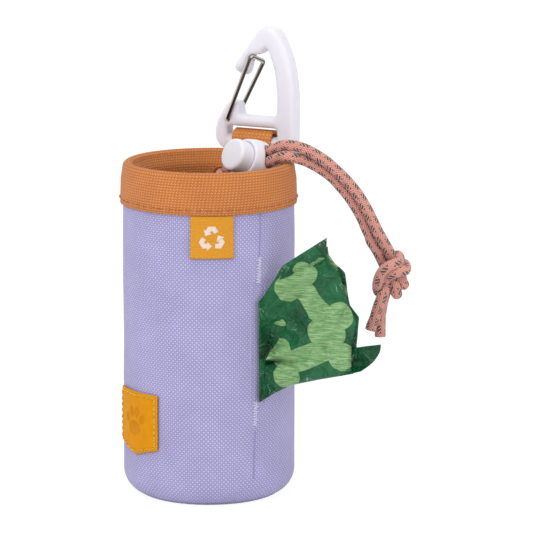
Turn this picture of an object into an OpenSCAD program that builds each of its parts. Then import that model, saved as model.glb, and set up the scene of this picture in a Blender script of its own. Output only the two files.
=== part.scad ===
// Dog waste bag dispenser: a sewn pouch that stands on its base, holds one roll of
// bags and hands the next bag out through a slit in its side.  Millimetres.
// Origin: centre of the flat base.  +Z up, -Y towards the label, +X towards the cord.

/* [Pouch] */
// Outer diameter of the fabric tube
body_d = 62.4; // [58:0.2:70]
// Height of the rolled rim above the base
pouch_h = 121.9; // [119:0.1:126]
// Thickness of the outer fabric
shell_t = 0.9; // [0.7:0.1:1.2]
// Thickness of the lining fabric
lining_t = 0.6; // [0.4:0.1:0.8]
// Radius of the soft corner between tube and base
corner_r = 9; // [6:0.5:11]
// Thickness of the stiff base panel
base_t = 1.7; // [1.2:0.1:1.9]
// Thickness of the binding cord round the base seam
piping_d = 1.8; // [1.4:0.1:2.2]
// Clearance between stacked layers of cloth
layer_gap = 0.15; // [0.1:0.05:0.25]

/* [Collar] */
// Height of the collar band
collar_h = 14.9; // [13.5:0.1:18]
// Thickness of the collar webbing
collar_t = 0.9; // [0.7:0.1:1.1]
// Width of the rolled rim
rim_w = 3.8; // [3.4:0.1:4.4]
// Distance between neighbouring topstitches
stitch_pitch = 3.65; // [3:0.05:5]
// Length of one topstitch
stitch_len = 2.5; // [1.5:0.1:2.8]
// Thread thickness
thread_d = 0.5; // [0.3:0.05:0.6]

/* [Slit] */
// Turn of the slit from the label side towards the cord side, degrees
slit_turn = 34.7; // [30:0.1:40]
// Height of the slit's lower end
slit_z0 = 36; // [30:0.5:37]
// Length of the slit
slit_len = 47; // [46:0.5:50]
// Clear width of the slit
slit_w = 5; // [4.8:0.1:6]
// Width of the folded edge round the slit
facing_w = 0.8; // [0.6:0.1:1.2]
// Width of the bartacks that lock both ends of the slit
bartack_w = 2.6; // [2:0.1:4]
// Height of a bartack
bartack_h = 7.6; // [5:0.1:9]

/* [Label and patch] */
// Width of the woven label
label_w = 15.2; // [12:0.1:20]
// Height of the label below the collar
label_h = 15.2; // [10:0.1:20]
// Thickness of the folded label
label_t = 0.7; // [0.4:0.1:1]
// Width of the leather patch
patch_w = 22.6; // [16:0.1:26]
// Height of the straight sides of the patch
patch_h = 20.1; // [14:0.1:24]
// Depth of the point at the patch's lower edge
patch_point = 3.2; // [2:0.1:6]
// Height of the patch's lowest point above the base
patch_z0 = 17.2; // [14:0.1:30]
// Thickness of the patch leather
patch_t = 1.2; // [0.8:0.1:1.6]
// Turn of the patch from the label side, degrees
patch_turn = -55.4; // [-70:0.2:-50]

/* [Clip] */
// Turn of the webbing and clip from the label side, degrees
clip_turn = 150.5; // [145:0.5:160]
// Diameter of the clip's bottom bar
bar_d = 5.2; // [4.6:0.1:5.6]
// Height of the bottom bar above the pouch rim
bar_rise = 1.5; // [1.4:0.1:3]
// Thickness of the clip body
clip_t = 6; // [5:0.1:6.4]
// Width of the webbing
webbing_w = 16; // [12:0.5:18]
// Thickness of the webbing
webbing_t = 1.2; // [0.9:0.1:1.4]
// Slack of the webbing above the clip's bar
loop_slack = 1.4; // [0:0.1:1.6]
// Wire thickness of the gate
wire_d = 1.5; // [1.2:0.1:1.6]
// Running clearance round the gate's wire pivots
pivot_gap = 0.05; // [0.03:0.01:0.08]

/* [Cord lock] */
// Diameter of the cord
cord_d = 4; // [3.6:0.1:4]
// Greatest diameter of the cord lock's barrel
lock_d = 16; // [15.8:0.1:17]
// Diameter of the push button
button_d = 11.8; // [11.4:0.1:12]
// Travel of the push button
button_travel = 2; // [1:0.1:2.2]
// Clearance round the button in its bore
button_gap = 0.15; // [0.1:0.05:0.2]
// Wire thickness of the button's spring
spring_wire = 0.6; // [0.4:0.05:0.7]

/* [Bag roll] */
// Diameter of the bag roll
roll_d = 34; // [28:0.5:36]
// Width of the bag roll
roll_h = 58; // [54:0.5:60]
// Outer diameter of the cardboard core
core_d = 12; // [10:0.5:16]
// Wall of the cardboard core
core_t = 1; // [0.8:0.1:1.5]
// Thickness of the folded film where it passes the slit
film_t = 1.2; // [0.8:0.1:1.4]
// Running gap between roll and film, and under the roll
roll_gap = 0.3; // [0.2:0.05:0.6]

/* [Hidden] */
$fn = 96;

body_r = body_d / 2;
lining_r = body_r - shell_t - layer_gap;       // outside of the lining
room_r = lining_r - lining_t;                  // inside of the lining
foot_angle = 58;                               // how far the soft corner turns under
shell_foot = body_r - shell_t / 2 - corner_r + corner_r * cos(foot_angle);
piping_r = shell_foot - piping_d / 2;          // middle of the base seam's binding
piping_z = piping_d / 2 + 0.1;
floor_z = max(base_t, piping_z + piping_d / 2) + layer_gap;  // underside of the lining's floor
floor_top = floor_z + lining_t;                // what the roll stands on
collar_z = pouch_h - collar_h;                 // lower edge of the collar
hem_r = body_r + layer_gap + collar_t;         // outside of the collar's lower edge
rim_r = body_r - rim_w / 2 + 0.2;              // middle of the rolled rim
rim_tube = rim_w / 2;
channel_z = collar_z + 6;                      // height of the drawcord in its channel
channel_r = body_r - cord_d / 2 - 0.3;         // middle of the drawcord in its channel
channel_in = channel_r - cord_d / 2 - 0.1;     // outside of the collar's inner leg
slit_mid = slit_z0 + slit_len / 2;
slit_cut_w = slit_w + 2 * (facing_w + layer_gap);
pull_offset = roll_d / 2 + roll_gap + film_t / 2;   // film plane to the roll's axis
pull_turn = slit_turn - 90 + asin(pull_offset / body_r);  // heading of the pulled film
slit_reach = sqrt(pow(body_r, 2) - pow(pull_offset, 2)); // foot point to slit, along film
bar_z = pouch_h + bar_rise;                    // axis of the clip's bottom bar
ply_gap = 0.2;                                 // between webbing plies and what they touch
loop_r = bar_d / 2 + ply_gap + webbing_t / 2;  // middle of the webbing round the bar
inner_ply = hem_r + 0.3 + webbing_t / 2;       // inner ply's distance from the pouch axis
clip_reach = inner_ply + loop_r - 1.05;        // bar's distance from the pouch axis

eyelet_turns = [157, 170];                     // where the two strands leave the channel
function eyelet(turn) = [channel_in * sin(turn), -channel_in * cos(turn), channel_z];
// Routes of the two free cord strands, from the channel through the lock to the knot,
// drawn for a pouch of this radius and height and carried along with its rim.
// The straight stretch through the lock runs from point 4 to point 5 of each.
drawn_r = 31.2;
drawn_h = 121.9;
function with_rim(p) = [p[0] * body_r / drawn_r, p[1] * body_r / drawn_r,
  p[2] + pouch_h - drawn_h];
upper_route = concat([eyelet(eyelet_turns[0])], [for (p = [[9.4, 22, 113.3],
  [7.8, 18.6, 114.4], [6.9, 15, 115.7], [8, 11.5, 117.4], [26, -5, 127.6],
  [29.6, -7, 128.1], [33.9, -8.2, 127.3], [38.4, -8.8, 125.1], [45.6, -9, 119.6],
  [51.2, -9.1, 113.8], [55.2, -9.2, 108.2], [58.3, -9.2, 102.4], [61.1, -9.2, 96.6],
  [64.2, -9, 90.1], [65.8, -9, 85.5]]) with_rim(p)]);
lower_route = concat([eyelet(eyelet_turns[1])], [for (p = [[4.4, 23.4, 112.5],
  [4.3, 19.3, 111.3], [5.5, 14, 111.6], [8, 9.3, 113.8], [26, -7.2, 124],
  [29.4, -8.3, 124.2], [32.8, -7.1, 123.3], [36.5, -6.2, 121.7], [41.2, -6, 118.9],
  [47.7, -6.2, 112.8], [52.2, -6.3, 106.9], [55.5, -6.4, 101], [58.1, -6.4, 95.1],
  [60.8, -6.6, 89.2], [62, -7, 84.5]]) with_rim(p)]);
knot_at = with_rim([65.6, -8.5, 80]);          // middle of the knot
// Both cord ends, measured from the middle of the knot.
left_end = [for (p = [[-3.3, -0.3, -5], [-5.2, -0.5, -9], [-6.8, -0.5, -13.5],
  [-7.5, -0.5, -18.5]]) knot_at + p];
right_end = [for (p = [[1, -0.3, -6], [-0.8, -0.5, -10.5], [-2.5, -0.5, -15],
  [-3.2, -0.5, -21]]) knot_at + p];
knot_turn_r = 4.6;                             // radius of a turn of cord in the knot

function unit(v) = v / norm(v);
lock_way = unit(upper_route[5] - upper_route[4]);            // along the cord hole
strand_step = upper_route[4] - lower_route[4];               // from strand to strand
lock_at = (upper_route[4] + upper_route[5] + lower_route[4] + lower_route[5]) / 4;
lock_heading = atan2(lock_way[1], lock_way[0]);
lock_rise = asin(lock_way[2]);
lock_roll = asin(unit(strand_step)[2] / cos(lock_rise));
button_r = button_d / 2;
bore_r = button_r + button_gap;
slot_half = cord_d / 2 + 0.35;                 // half the height of the cord holes
slot_reach = norm(strand_step) / 2;            // cord hole centres from the barrel's middle
lock_top = 6.3;                                // barrel's open end above its middle
button_low = -slot_half - 1.1;                 // button's inner end above its middle
nose_taper = 1.5;                              // how much the button's nose narrows
seat_z = button_low - button_travel - 0.2;     // shoulder at the bottom of the bore
spring_pocket = 2.3;                           // depth of the spring's pocket
spring_r = 3;                                  // middle of the spring's coils

// Clip outline, measured from the bottom bar's axis.
clip_left = -15.3;
clip_right = 17;
spine_in = 10.8;
slot_left = -11.1;
crossbar_lo = 6.6;
crossbar_hi = 9.9;
gate_pivot = [-10.2, 8.4];                     // wire pivot, across and up
near_top = [-0.5, 32.6];                       // wire corner on the pouch's side
far_top = [1.2, 30.2];                         // wire corner on the outer side
leg_out = clip_t / 2 + wire_d / 2 + 0.45;      // wire leg's middle from the clip's middle

// A closed polygon of even thickness t round an open line of points.
function side(p, i) = let(a = unit(p[i + 1] - p[i])) [-a[1], a[0]];
function offset_at(p, i) = i == 0 ? side(p, 0) : i == len(p) - 1 ? side(p, i - 1)
  : let(n = side(p, i - 1) + side(p, i)) 2 * n / (n * n);
function ribbon(p, t) = concat(
  [for (i = [0:len(p) - 1]) p[i] + offset_at(p, i) * t / 2],
  [for (i = [len(p) - 1:-1:0]) p[i] - offset_at(p, i) * t / 2]);
// Points on an arc.
function arc(c, r, a0, a1, n = 12) =
  [for (i = [0:n]) c + r * [cos(a0 + (a1 - a0) * i / n), sin(a0 + (a1 - a0) * i / n)]];
// A smooth line through points; the first and last only set its direction.
function curve(p, n = 4) = [for (i = [1:len(p) - 3], k = [0:n - 1])
  let(a = p[i - 1], b = p[i], c = p[i + 1], d = p[i + 2], t = k / n)
  (2 * b + (c - a) * t + (2 * a - 5 * b + 4 * c - d) * t * t
    + (3 * b - a - 3 * c + d) * t * t * t) / 2];
// A frame carried along a line of points without twisting.
function way(p, i) = unit(p[min(i + 1, len(p) - 1)] - p[max(i - 1, 0)]);
function carry(p, n, i = 0) = i == len(p) ? []
  : let(m = unit(n - (n * way(p, i)) * way(p, i))) concat([m], carry(p, m, i + 1));
module tube(p, d, sides = 10) {
  n = carry(p, unit([-1, -1, 1.4]));
  last = len(p) - 1;
  points = [for (i = [0:last], k = [0:sides - 1])
    p[i] + d / 2 * (cos(360 * k / sides) * n[i]
      + sin(360 * k / sides) * cross(way(p, i), n[i]))];
  polyhedron(points, concat(
    [for (i = [0:last - 1], k = [0:sides - 1]) let(a = i * sides, b = (k + 1) % sides)
      each [[a + k, a + sides + k, a + sides + b], [a + k, a + sides + b, a + b]]],
    [[for (k = [0:sides - 1]) k]],
    [[for (k = [sides - 1:-1:0]) last * sides + k]]));
}
module rod(a, b, d) {
  v = b - a;
  translate(a) rotate([0, acos(v[2] / norm(v)), atan2(v[1], v[0])])
    cylinder(h = norm(v), d = d, $fn = 24);
}
// Places children facing outwards on the pouch, local -Y outwards.
module around(turn) { rotate([0, 0, turn]) children(); }
// The clip's own place: local X along the bar, local Y away from the pouch.
module at_clip() {
  rotate([0, 0, clip_turn - 180]) translate([0, clip_reach, bar_z]) children();
}
// The cord lock's own place: local X along the cords, local Z towards the button.
module at_lock() {
  translate(lock_at) rotate([lock_roll, -lock_rise, lock_heading]) children();
}
// A round-ended slot outline, drawn in the local XZ plane and cut through -Y.
module slot_prism(w, l, near, far) {
  translate([0, -near, slit_mid]) rotate([90, 0, 0]) linear_extrude(far - near) {
    square([w, l - w], center = true);
    for (s = [-1, 1]) translate([0, s * (l - w) / 2]) circle(d = w, $fn = 48);
  }
}
module slit_hole(w, l) { around(slit_turn) slot_prism(w, l, body_r - 6, body_r + 6); }

module outer_shell() {
  centre = [body_r - shell_t / 2 - corner_r, corner_r + 0.1];
  line = concat(arc(centre, corner_r, -foot_angle, 0, 10),
    [[body_r - shell_t / 2, collar_z + 1.8]]);
  color("#aca6d2") difference() {
    rotate_extrude($fn = 144) polygon(ribbon(line, shell_t));
    slit_hole(slit_cut_w, slit_len + slit_cut_w - slit_w);
  }
}
module base_panel() {
  color("#a7a0cd") cylinder(r = piping_r - piping_d / 2 - layer_gap, h = base_t);
}
module base_piping() {
  color("#9d95c8") rotate_extrude() translate([piping_r, piping_z])
    circle(d = piping_d, $fn = 24);
}
module lining_tube() {
  r = corner_r * 0.65;
  centre = [lining_r - lining_t / 2 - r, floor_top + r + lining_t / 2];
  line = concat(arc(centre, r, -foot_angle, 0, 8),
    [[lining_r - lining_t / 2, collar_z + 0.6]]);
  color("#c8793f") difference() {
    rotate_extrude($fn = 144) polygon(ribbon(line, lining_t));
    slit_hole(slit_cut_w, slit_len + slit_cut_w - slit_w);
  }
}
module lining_base() {
  color("#c8793f") translate([0, 0, floor_z])
    cylinder(r = shell_foot - layer_gap, h = lining_t);
}

// Collar: an upside-down U that wraps the rim, with the drawcord inside.
collar_line = concat(
  [[hem_r - collar_t / 2, collar_z], [hem_r - collar_t / 2, collar_z + 2.5],
   [body_r + 0.45, channel_z + 2.5]],
  arc([rim_r, pouch_h - rim_tube], rim_tube - collar_t / 2, 0, 180, 14),
  [[channel_in - collar_t / 2, channel_z + 3.5], [channel_in - collar_t / 2, channel_z - 1],
   [lining_r - lining_t / 2, collar_z + 1.4]]);
module eyelet_hole(turn, d, near, far) {
  around(turn) translate([0, -near, channel_z]) rotate([90, 0, 0])
    cylinder(d = d, h = far - near, $fn = 32);
}
module collar() {
  color("#d08b52") difference() {
    rotate_extrude($fn = 144) polygon(ribbon(collar_line, collar_t));
    for (t = eyelet_turns) eyelet_hole(t, cord_d + 0.4, channel_in - 3, channel_in + 0.5);
  }
}
module collar_topstitch() {
  // The row stops where the webbing of the clip covers it.
  count = floor(2 * PI * hem_r / stitch_pitch);
  covered = asin((webbing_w + stitch_len + 1) / 2 / hem_r);
  color("#dda163") for (i = [0:count - 1]) if (abs(i * 360 / count - clip_turn) > covered)
    around(i * 360 / count)
    translate([-stitch_len / 2, -hem_r - thread_d / 2 - 0.05, collar_z + 1.9])
      rotate([0, 90, 0]) cylinder(d = thread_d, h = stitch_len, $fn = 8);
}
// The cord goes nearly all the way round and leaves by the two eyelets.
module drawcord_in_channel() {
  first = eyelet_turns[1] - 90 + 5;
  color("#e0a090") rotate([0, 0, first]) rotate_extrude(angle = 339)
    translate([channel_r, channel_z]) circle(d = cord_d, $fn = 24);
}
module channel_eyelets() {
  color("#c27a45") for (t = eyelet_turns) around(t)
    translate([0, -channel_in + collar_t + 0.7, channel_z]) rotate([90, 0, 0])
      rotate_extrude($fn = 32) translate([cord_d / 2 + 0.25, 0]) square([0.35, 0.5]);
}

module skin(turn, w, z0, h, t) {
  // A plate of thickness t that lies on the tube, cut from a ring.
  r = body_r + layer_gap;
  intersection() {
    difference() {
      translate([0, 0, z0]) cylinder(r = r + t, h = h, $fn = 144);
      translate([0, 0, z0 - 1]) cylinder(r = r, h = h + 2, $fn = 144);
    }
    around(turn) translate([-w / 2, -body_r - 5, z0]) cube([w, body_r, h]);
  }
}
module label_tab() {
  color("#e49e27")
    skin(2, label_w, collar_z - layer_gap - label_h, label_h, label_t);
}
module patch_outline(inset) {
  w = patch_w / 2 - inset;
  slope = patch_point / (patch_w / 2);
  low = inset * sqrt(1 + slope * slope);
  polygon([[-w, patch_point + patch_h - inset], [w, patch_point + patch_h - inset],
    [w, slope * w + low], [0, low], [-w, slope * w + low]]);
}
module patch_prism(inset) {
  around(patch_turn) translate([0, 0, patch_z0]) rotate([90, 0, 0])
    linear_extrude(body_r + 5) patch_outline(inset);
}
module leather_patch() {
  r = body_r + layer_gap;
  color("#e39a1c") intersection() {
    difference() {
      cylinder(r = r + patch_t, h = patch_z0 + patch_h + 6, $fn = 144);
      translate([0, 0, -1]) cylinder(r = r, h = patch_z0 + patch_h + 8, $fn = 144);
    }
    patch_prism(0);
  }
}
module patch_stitches() {
  // A thread frame laid on the patch, 1.1 mm in from its edge.
  r = body_r + layer_gap + patch_t + 0.05;
  color("#f0c64b") intersection() {
    difference() {
      cylinder(r = r + thread_d / 2, h = patch_z0 + patch_h + 6, $fn = 144);
      translate([0, 0, -1]) cylinder(r = r, h = patch_z0 + patch_h + 8, $fn = 144);
    }
    difference() {
      patch_prism(1.1);
      patch_prism(1.1 + thread_d);
    }
  }
}
module side_seam() {
  top = slit_z0 + slit_len + 0.4 + bartack_h;
  low = slit_z0 - 0.4 - bartack_h;
  color("#b6b0da") {
    skin(slit_turn, 1.2, top + 0.3, collar_z - layer_gap - top - 0.3, 0.3);
    skin(slit_turn, 1.2, corner_r + 1, low - 0.3 - corner_r - 1, 0.3);
  }
}
module slit_facing() {
  color("#b9b3dd") around(slit_turn) difference() {
    slot_prism(slit_w + 2 * facing_w, slit_len + 2 * facing_w, room_r - 0.1, body_r + 0.35);
    slot_prism(slit_w, slit_len, room_r - 2, body_r + 2);
  }
}
module slit_bartacks() {
  color("#d8d2ea") {
    skin(slit_turn, bartack_w, slit_z0 + slit_len + facing_w + 0.2, bartack_h - 0.5, 0.5);
    skin(slit_turn, bartack_w, slit_z0 - facing_w - bartack_h + 0.3, bartack_h - 0.5, 0.5);
  }
}

// Webbing: up from the collar, over the clip's bar and down again.
webbing_low = collar_z + 1.6;                  // lower end of the webbing
module webbing_loop() {
  step = webbing_t + 0.1;
  foot = inner_ply - clip_reach;               // inner ply from the bar's axis
  z0 = webbing_low - bar_z;
  line = concat([[foot, z0], [foot, z0 + 6], [-loop_r + 0.15, -4]],
    arc([0, loop_slack], loop_r, 176, 4, 16),
    [[loop_r - 0.4, -3.5], [foot + step + 1.6, -7.5], [foot + step, z0 + 5],
     [foot + step, z0]]);
  color("#d1915a") at_clip() translate([-webbing_w / 2, 0, 0]) rotate([90, 0, 90])
    linear_extrude(webbing_w) polygon(ribbon(line, webbing_t));
}
module webbing_bartacks() {
  y = inner_ply - clip_reach + 1.5 * webbing_t + 0.15;
  color("#dda163") at_clip() for (s = [-1, 1])
    translate([s * (webbing_w / 2 - 3) - 0.8, y, webbing_low - bar_z + 0.6])
      cube([1.6, 0.4, 4]);
}

module drawcord_upper() { color("#e29686") tube(upper_route, cord_d); }
module drawcord_lower() { color("#e29686") tube(lower_route, cord_d); }
module drawcord_knot() {
  // Two slanting turns of cord round a core: the overhand knot's outer shape.
  color("#dd8f80") translate(knot_at) {
    for (s = [-1, 1]) rotate([24, -34, 0]) translate([0, 0, s * 1.9])
      rotate_extrude($fn = 48) translate([knot_turn_r, 0]) circle(d = cord_d, $fn = 20);
    rotate([0, 18, 0]) {
      translate([0, 0, -6]) cylinder(r = 3.9, h = 11.5, $fn = 48);
      translate([0, 0, 5.5]) sphere(r = 3.9, $fn = 48);
    }
  }
}
module drawcord_ends() {
  color("#e29686") { tube(left_end, cord_d); tube(right_end, cord_d); }
}

module clip_outline() {
  bottom = -bar_d / 2;
  left = concat(
    arc([clip_left + 5, bottom + 5], 5, 270, 180, 8),
    [[-15.1, 5.5], [-14.2, 8.6]],
    arc([-8.5, 13.7], 1.8, 150, 60, 6), arc([-7.2, 13.9], 1.3, 60, 0, 4),
    arc([-4.6, crossbar_hi + 1.3], 1.3, 180, 270, 5),
    arc([8.2, crossbar_hi + 2.4], 2.4, 270, 352, 6));
  spine_inner = curve([[spine_in, 11], [spine_in, 16], [10.6, 21], [9.9, 26.3],
    [8.5, 31.5], [6.6, 36]]);
  hook = concat(arc([5.9, 35.1], 1.1, 20, 150, 6), [[2.6, 33.6], [-2.4, 33.6]]);
  slope = [[-3.9, 33.2]];
  outer = concat(arc([6.4, 38.6], 4.9, 142, 36, 10), curve([[8.6, 43], [10.9, 40.5],
    [13.2, 36.3], [15.1, 30.9], [16.4, 24.4], [clip_right, 17], [clip_right, 9]]),
    [[clip_right, 3]],
    arc([clip_right - 5, bottom + 5], 5, 0, -90, 8));
  polygon(concat(left, spine_inner, hook, slope, outer));
}
module tongue_outline() {
  polygon(concat(arc([-3.8, 27.5], 2, -10, -115, 7), arc([-6, 28.1], 1.7, -120, -215, 7),
    [[-3.4, 34.2], [-1, 34.5], [-0.9, 31.5]]));
}
module upright(t) { rotate([90, 0, 0]) translate([0, 0, -t / 2]) linear_extrude(t) children(); }
module carabiner_body() {
  color("#ebe8f2") at_clip() difference() {
    union() {
      difference() {
        upright(clip_t) clip_outline();
        // The slot that the webbing passes through.
        translate([slot_left, -clip_t, -bar_d])
          cube([spine_in - slot_left, 2 * clip_t, bar_d + crossbar_lo]);
      }
      translate([slot_left - 1, 0, 0]) rotate([0, 90, 0])
        cylinder(d = bar_d, h = spine_in - slot_left + 2);
      upright(clip_t / 2) tongue_outline();
    }
    translate([gate_pivot[0], clip_t, gate_pivot[1]]) rotate([90, 0, 0])
      cylinder(d = wire_d + 2 * pivot_gap, h = 2 * clip_t, $fn = 32);
  }
}
module wire_gate() {
  near = [for (p = [gate_pivot, near_top]) [p[0], -leg_out, p[1]]];
  far = [for (p = [gate_pivot, far_top]) [p[0], leg_out, p[1]]];
  color("#9a958f") at_clip() {
    rod(near[0], near[1], wire_d);
    rod(near[1], far[1], wire_d);
    rod(far[1], far[0], wire_d);
    rod(near[0], near[0] + [0, leg_out - 0.6, 0], wire_d);
    rod(far[0], far[0] - [0, leg_out - 0.6, 0], wire_d);
    for (p = [near[0], near[1], far[0], far[1]]) translate(p)
      sphere(d = wire_d + 0.04, $fn = 24);
  }
}

// Barrel profile: a ball that is cut open at the button's end.
barrel = [[0, -9.2], [2.6, -9.2], [4.3, -8.6], [5.8, -7.1], [7.1, -4.5], [8, -0.4],
  [7.85, 2.6], [7.35, 5.2], [7.05, lock_top], [0, lock_top]];
// A round-cornered hole for both strands, cut right through along local X.
module cord_holes(len, low, high) {
  y = slot_reach;
  r = slot_half;
  translate([-len / 2, 0, 0]) rotate([90, 0, 90]) linear_extrude(len)
    polygon(concat(arc([y, high - r], r, 0, 90, 6), arc([-y, high - r], r, 90, 180, 6),
      arc([-y, low + r], r, 180, 270, 6), arc([y, low + r], r, 270, 360, 6)));
}
module cord_lock_barrel() {
  grow = lock_d / 16;
  color("#ebe8f2") at_lock() difference() {
    rotate_extrude() polygon([for (p = barrel) [p[0] * grow, p[1]]]);
    translate([0, 0, seat_z]) cylinder(r = bore_r, h = 20);
    translate([0, 0, seat_z - spring_pocket])
      cylinder(r = spring_r + spring_wire + 0.2, h = 10);
    cord_holes(lock_d + 4, -slot_half, slot_half);
  }
}
module cord_lock_spring() {
  turns = 3;
  low = seat_z - spring_pocket + spring_wire / 2 + 0.1;
  high = button_low - spring_wire / 2 - 0.1;
  line = [for (i = [0:turns * 12]) [spring_r * cos(i * 30), spring_r * sin(i * 30),
    low + (high - low) * i / (turns * 12)]];
  color("#b8b8bc") at_lock() tube(line, spring_wire, 8);
}
module cord_lock_button() {
  edge = 1.1;
  top = 12;
  color("#efecf5") at_lock() difference() {
    rotate_extrude() polygon(concat([[0, button_low], [button_r - nose_taper, button_low],
      [button_r, -slot_half + 0.4]], arc([button_r - edge, top - edge], edge, 0, 90, 6), [[0, top]]));
    cord_holes(button_d + 4, -slot_half, slot_half + button_travel);
  }
}

module bag_roll() {
  color("#1f6e40") translate([0, 0, floor_top + roll_gap]) difference() {
    cylinder(d = roll_d, h = roll_h);
    translate([0, 0, -1]) cylinder(d = core_d + 2 * layer_gap, h = roll_h + 2);
  }
}
module roll_core() {
  color("#b79a74") translate([0, 0, floor_top + roll_gap]) difference() {
    cylinder(d = core_d, h = roll_h);
    translate([0, 0, -1]) cylinder(d = core_d - 2 * core_t, h = roll_h + 2);
  }
}
// The bag that is being drawn out: a flat tongue inside, spread film outside.
module pulled_bag() {
  r = slit_reach;
  tongue = [[1, slit_z0 - 14], [1, slit_z0 + 22], [r - 14, slit_z0 + 35],
    [r + 3, slit_z0 + 40], [r + 3, slit_z0 + 3], [r - 19.2, slit_z0 + 2.8]];
  // Outside, points are given from the slit's foot.
  spread = [for (p = [[1.5, 3.5], [6.2, 6.1], [12.6, 9.6], [35.5, 15.4], [36, 25],
    [36.9, 35.4], [33.8, 39.7], [30.4, 51.2], [26.8, 54.5], [25.2, 63.5], [20.3, 60.2],
    [9, 52.6], [1.5, 40]]) p + [r, slit_z0]];
  fold = [for (p = [[4, 5.5], [12.6, 9.6], [35.5, 15.4], [39, 16.9], [45.6, 26.6],
    [34, 24.5], [4, 15]]) p + [r, slit_z0]];
  color("#2a7147") rotate([0, 0, pull_turn]) translate([0, -pull_offset, 0]) {
    upright(film_t) polygon(tongue);
    upright(2.2) polygon(spread);
    translate([0, -1.4, 0]) upright(4) polygon(fold);
  }
}

outer_shell();
base_panel();
base_piping();
lining_tube();
lining_base();
collar();
collar_topstitch();
drawcord_in_channel();
channel_eyelets();
label_tab();
leather_patch();
patch_stitches();
side_seam();
slit_facing();
slit_bartacks();
webbing_loop();
webbing_bartacks();
drawcord_upper();
drawcord_lower();
drawcord_knot();
drawcord_ends();
carabiner_body();
wire_gate();
cord_lock_barrel();
cord_lock_spring();
cord_lock_button();
bag_roll();
roll_core();
pulled_bag();
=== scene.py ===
from math import asin, atan2, cos, degrees, dist, exp, hypot, pi, radians, sin, sqrt, tan

import bmesh
import bpy
from mathutils import Matrix, Vector, noise


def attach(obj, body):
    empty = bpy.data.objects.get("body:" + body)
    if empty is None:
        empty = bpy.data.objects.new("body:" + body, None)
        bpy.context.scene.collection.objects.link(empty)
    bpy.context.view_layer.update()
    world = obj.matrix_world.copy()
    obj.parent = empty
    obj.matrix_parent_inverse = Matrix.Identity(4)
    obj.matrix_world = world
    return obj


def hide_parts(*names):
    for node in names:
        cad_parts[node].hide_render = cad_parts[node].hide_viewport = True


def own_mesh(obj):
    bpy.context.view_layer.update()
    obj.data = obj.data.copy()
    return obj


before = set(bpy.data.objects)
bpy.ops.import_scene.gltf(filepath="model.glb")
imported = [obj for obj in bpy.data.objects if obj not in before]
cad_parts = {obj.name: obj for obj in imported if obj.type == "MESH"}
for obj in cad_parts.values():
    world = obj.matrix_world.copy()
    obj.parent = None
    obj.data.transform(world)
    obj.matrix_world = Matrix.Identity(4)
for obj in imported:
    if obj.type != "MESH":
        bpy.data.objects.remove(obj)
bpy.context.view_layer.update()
mm = 0.001  # pieces are modelled in millimetres and shrunk to metres when they are finished
print("frame loaded:", len(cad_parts), "nodes")

studio = {
    "eye": (0.0, -1.100, 0.2955),
    "pitch": 10.95,
    "yaw": 1.09,
    "lens": 208.0,
    "paper": "#FFFFFF",
    "paperShare": 0.8,
    "paperGlow": 1.12,
    "sky": 0.74,
    "key": 4.9,
    "fill": 3.1,
    "rim": 1.0,
    "top": 1.9,
    "glint": 1.2,
}


def linear(hexColour):  # sRGB hex to linear RGBA
    parts = [int(hexColour[i : i + 2], 16) / 255 for i in (1, 3, 5)]
    return tuple(c / 12.92 if c <= 0.04045 else ((c + 0.055) / 1.055) ** 2.4 for c in parts) + (1.0,)


def addNode(tree, kind, inputs=None, **settings):  # a node with its settings and links
    node = tree.nodes.new("ShaderNode" + kind)
    for key, value in settings.items():
        setattr(node, key, value)
    for key, value in (inputs or {}).items():
        if isinstance(value, bpy.types.Node):
            value = next(out for out in value.outputs if out.enabled)
        if isinstance(value, bpy.types.NodeSocket):
            tree.links.new(value, node.inputs[key])
        else:
            node.inputs[key].default_value = value
    return node


def joined(kind, inputs, **settings):  # a node in the same tree as what it is linked to
    tree = next(value.id_data for value in inputs.values() if hasattr(value, "id_data"))
    return addNode(tree, kind, inputs, **settings)


def newMaterial(name, colour, roughness, **sockets):
    made = bpy.data.materials.new(name)
    made.use_nodes = True
    shader = made.node_tree.nodes["Principled BSDF"]
    shader.inputs["Base Color"].default_value = linear(colour)
    shader.inputs["Roughness"].default_value = roughness
    for key, value in sockets.items():
        shader.inputs[key.replace("_", " ")].default_value = value
    return made, made.node_tree


def calc(operation, *values):  # one step of arithmetic
    return joined("Math", dict(enumerate(values)), operation=operation)


def vectored(operation, *values):
    return joined("VectorMath", dict(enumerate(values)), operation=operation)


def mixed(share, low, high):  # from one colour to another
    low, high = (linear(tone) if isinstance(tone, str) else tone for tone in (low, high))
    return joined("Mix", {0: share, 6: low, 7: high}, data_type="RGBA")


def ranged(value, low=0.0, high=1.0, least=0.0, most=1.0):  # low to high becomes least to most
    return joined("MapRange", {0: value, 1: low, 2: high, 3: least, 4: most})


def noiseOver(place, scale, detail, **others):
    return joined("TexNoise", {"Vector": place, "Scale": scale, "Detail": detail, **others})


def bumped(height, depth, strength=1.0):  # depth in millimetres
    return joined("Bump", {"Strength": strength, "Distance": depth * mm, "Height": height})


def wired(made, tone, bump=None, gloss=None):  # joins the worked-out colour, relief and gloss to the shader
    shader = made.node_tree.nodes["Principled BSDF"]
    for socket, node in (("Base Color", tone), ("Normal", bump), ("Roughness", gloss)):
        if node:
            output = next(out for out in node.outputs if out.enabled)
            made.node_tree.links.new(output, shader.inputs[socket])
    return made


def addObject(name, data):
    made = bpy.data.objects.new(name, data)
    bpy.context.scene.collection.objects.link(made)
    return made


def gridOf(across, up, size=1):
    bm = bmesh.new()
    bmesh.ops.create_grid(bm, x_segments=across, y_segments=up, size=size)
    return bm


def meshFrom(name, bm, scale=1.0):
    mesh = bpy.data.meshes.new(name)
    bm.to_mesh(mesh)
    bm.free()
    mesh.transform(Matrix.Scale(scale, 4))
    return mesh


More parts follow.
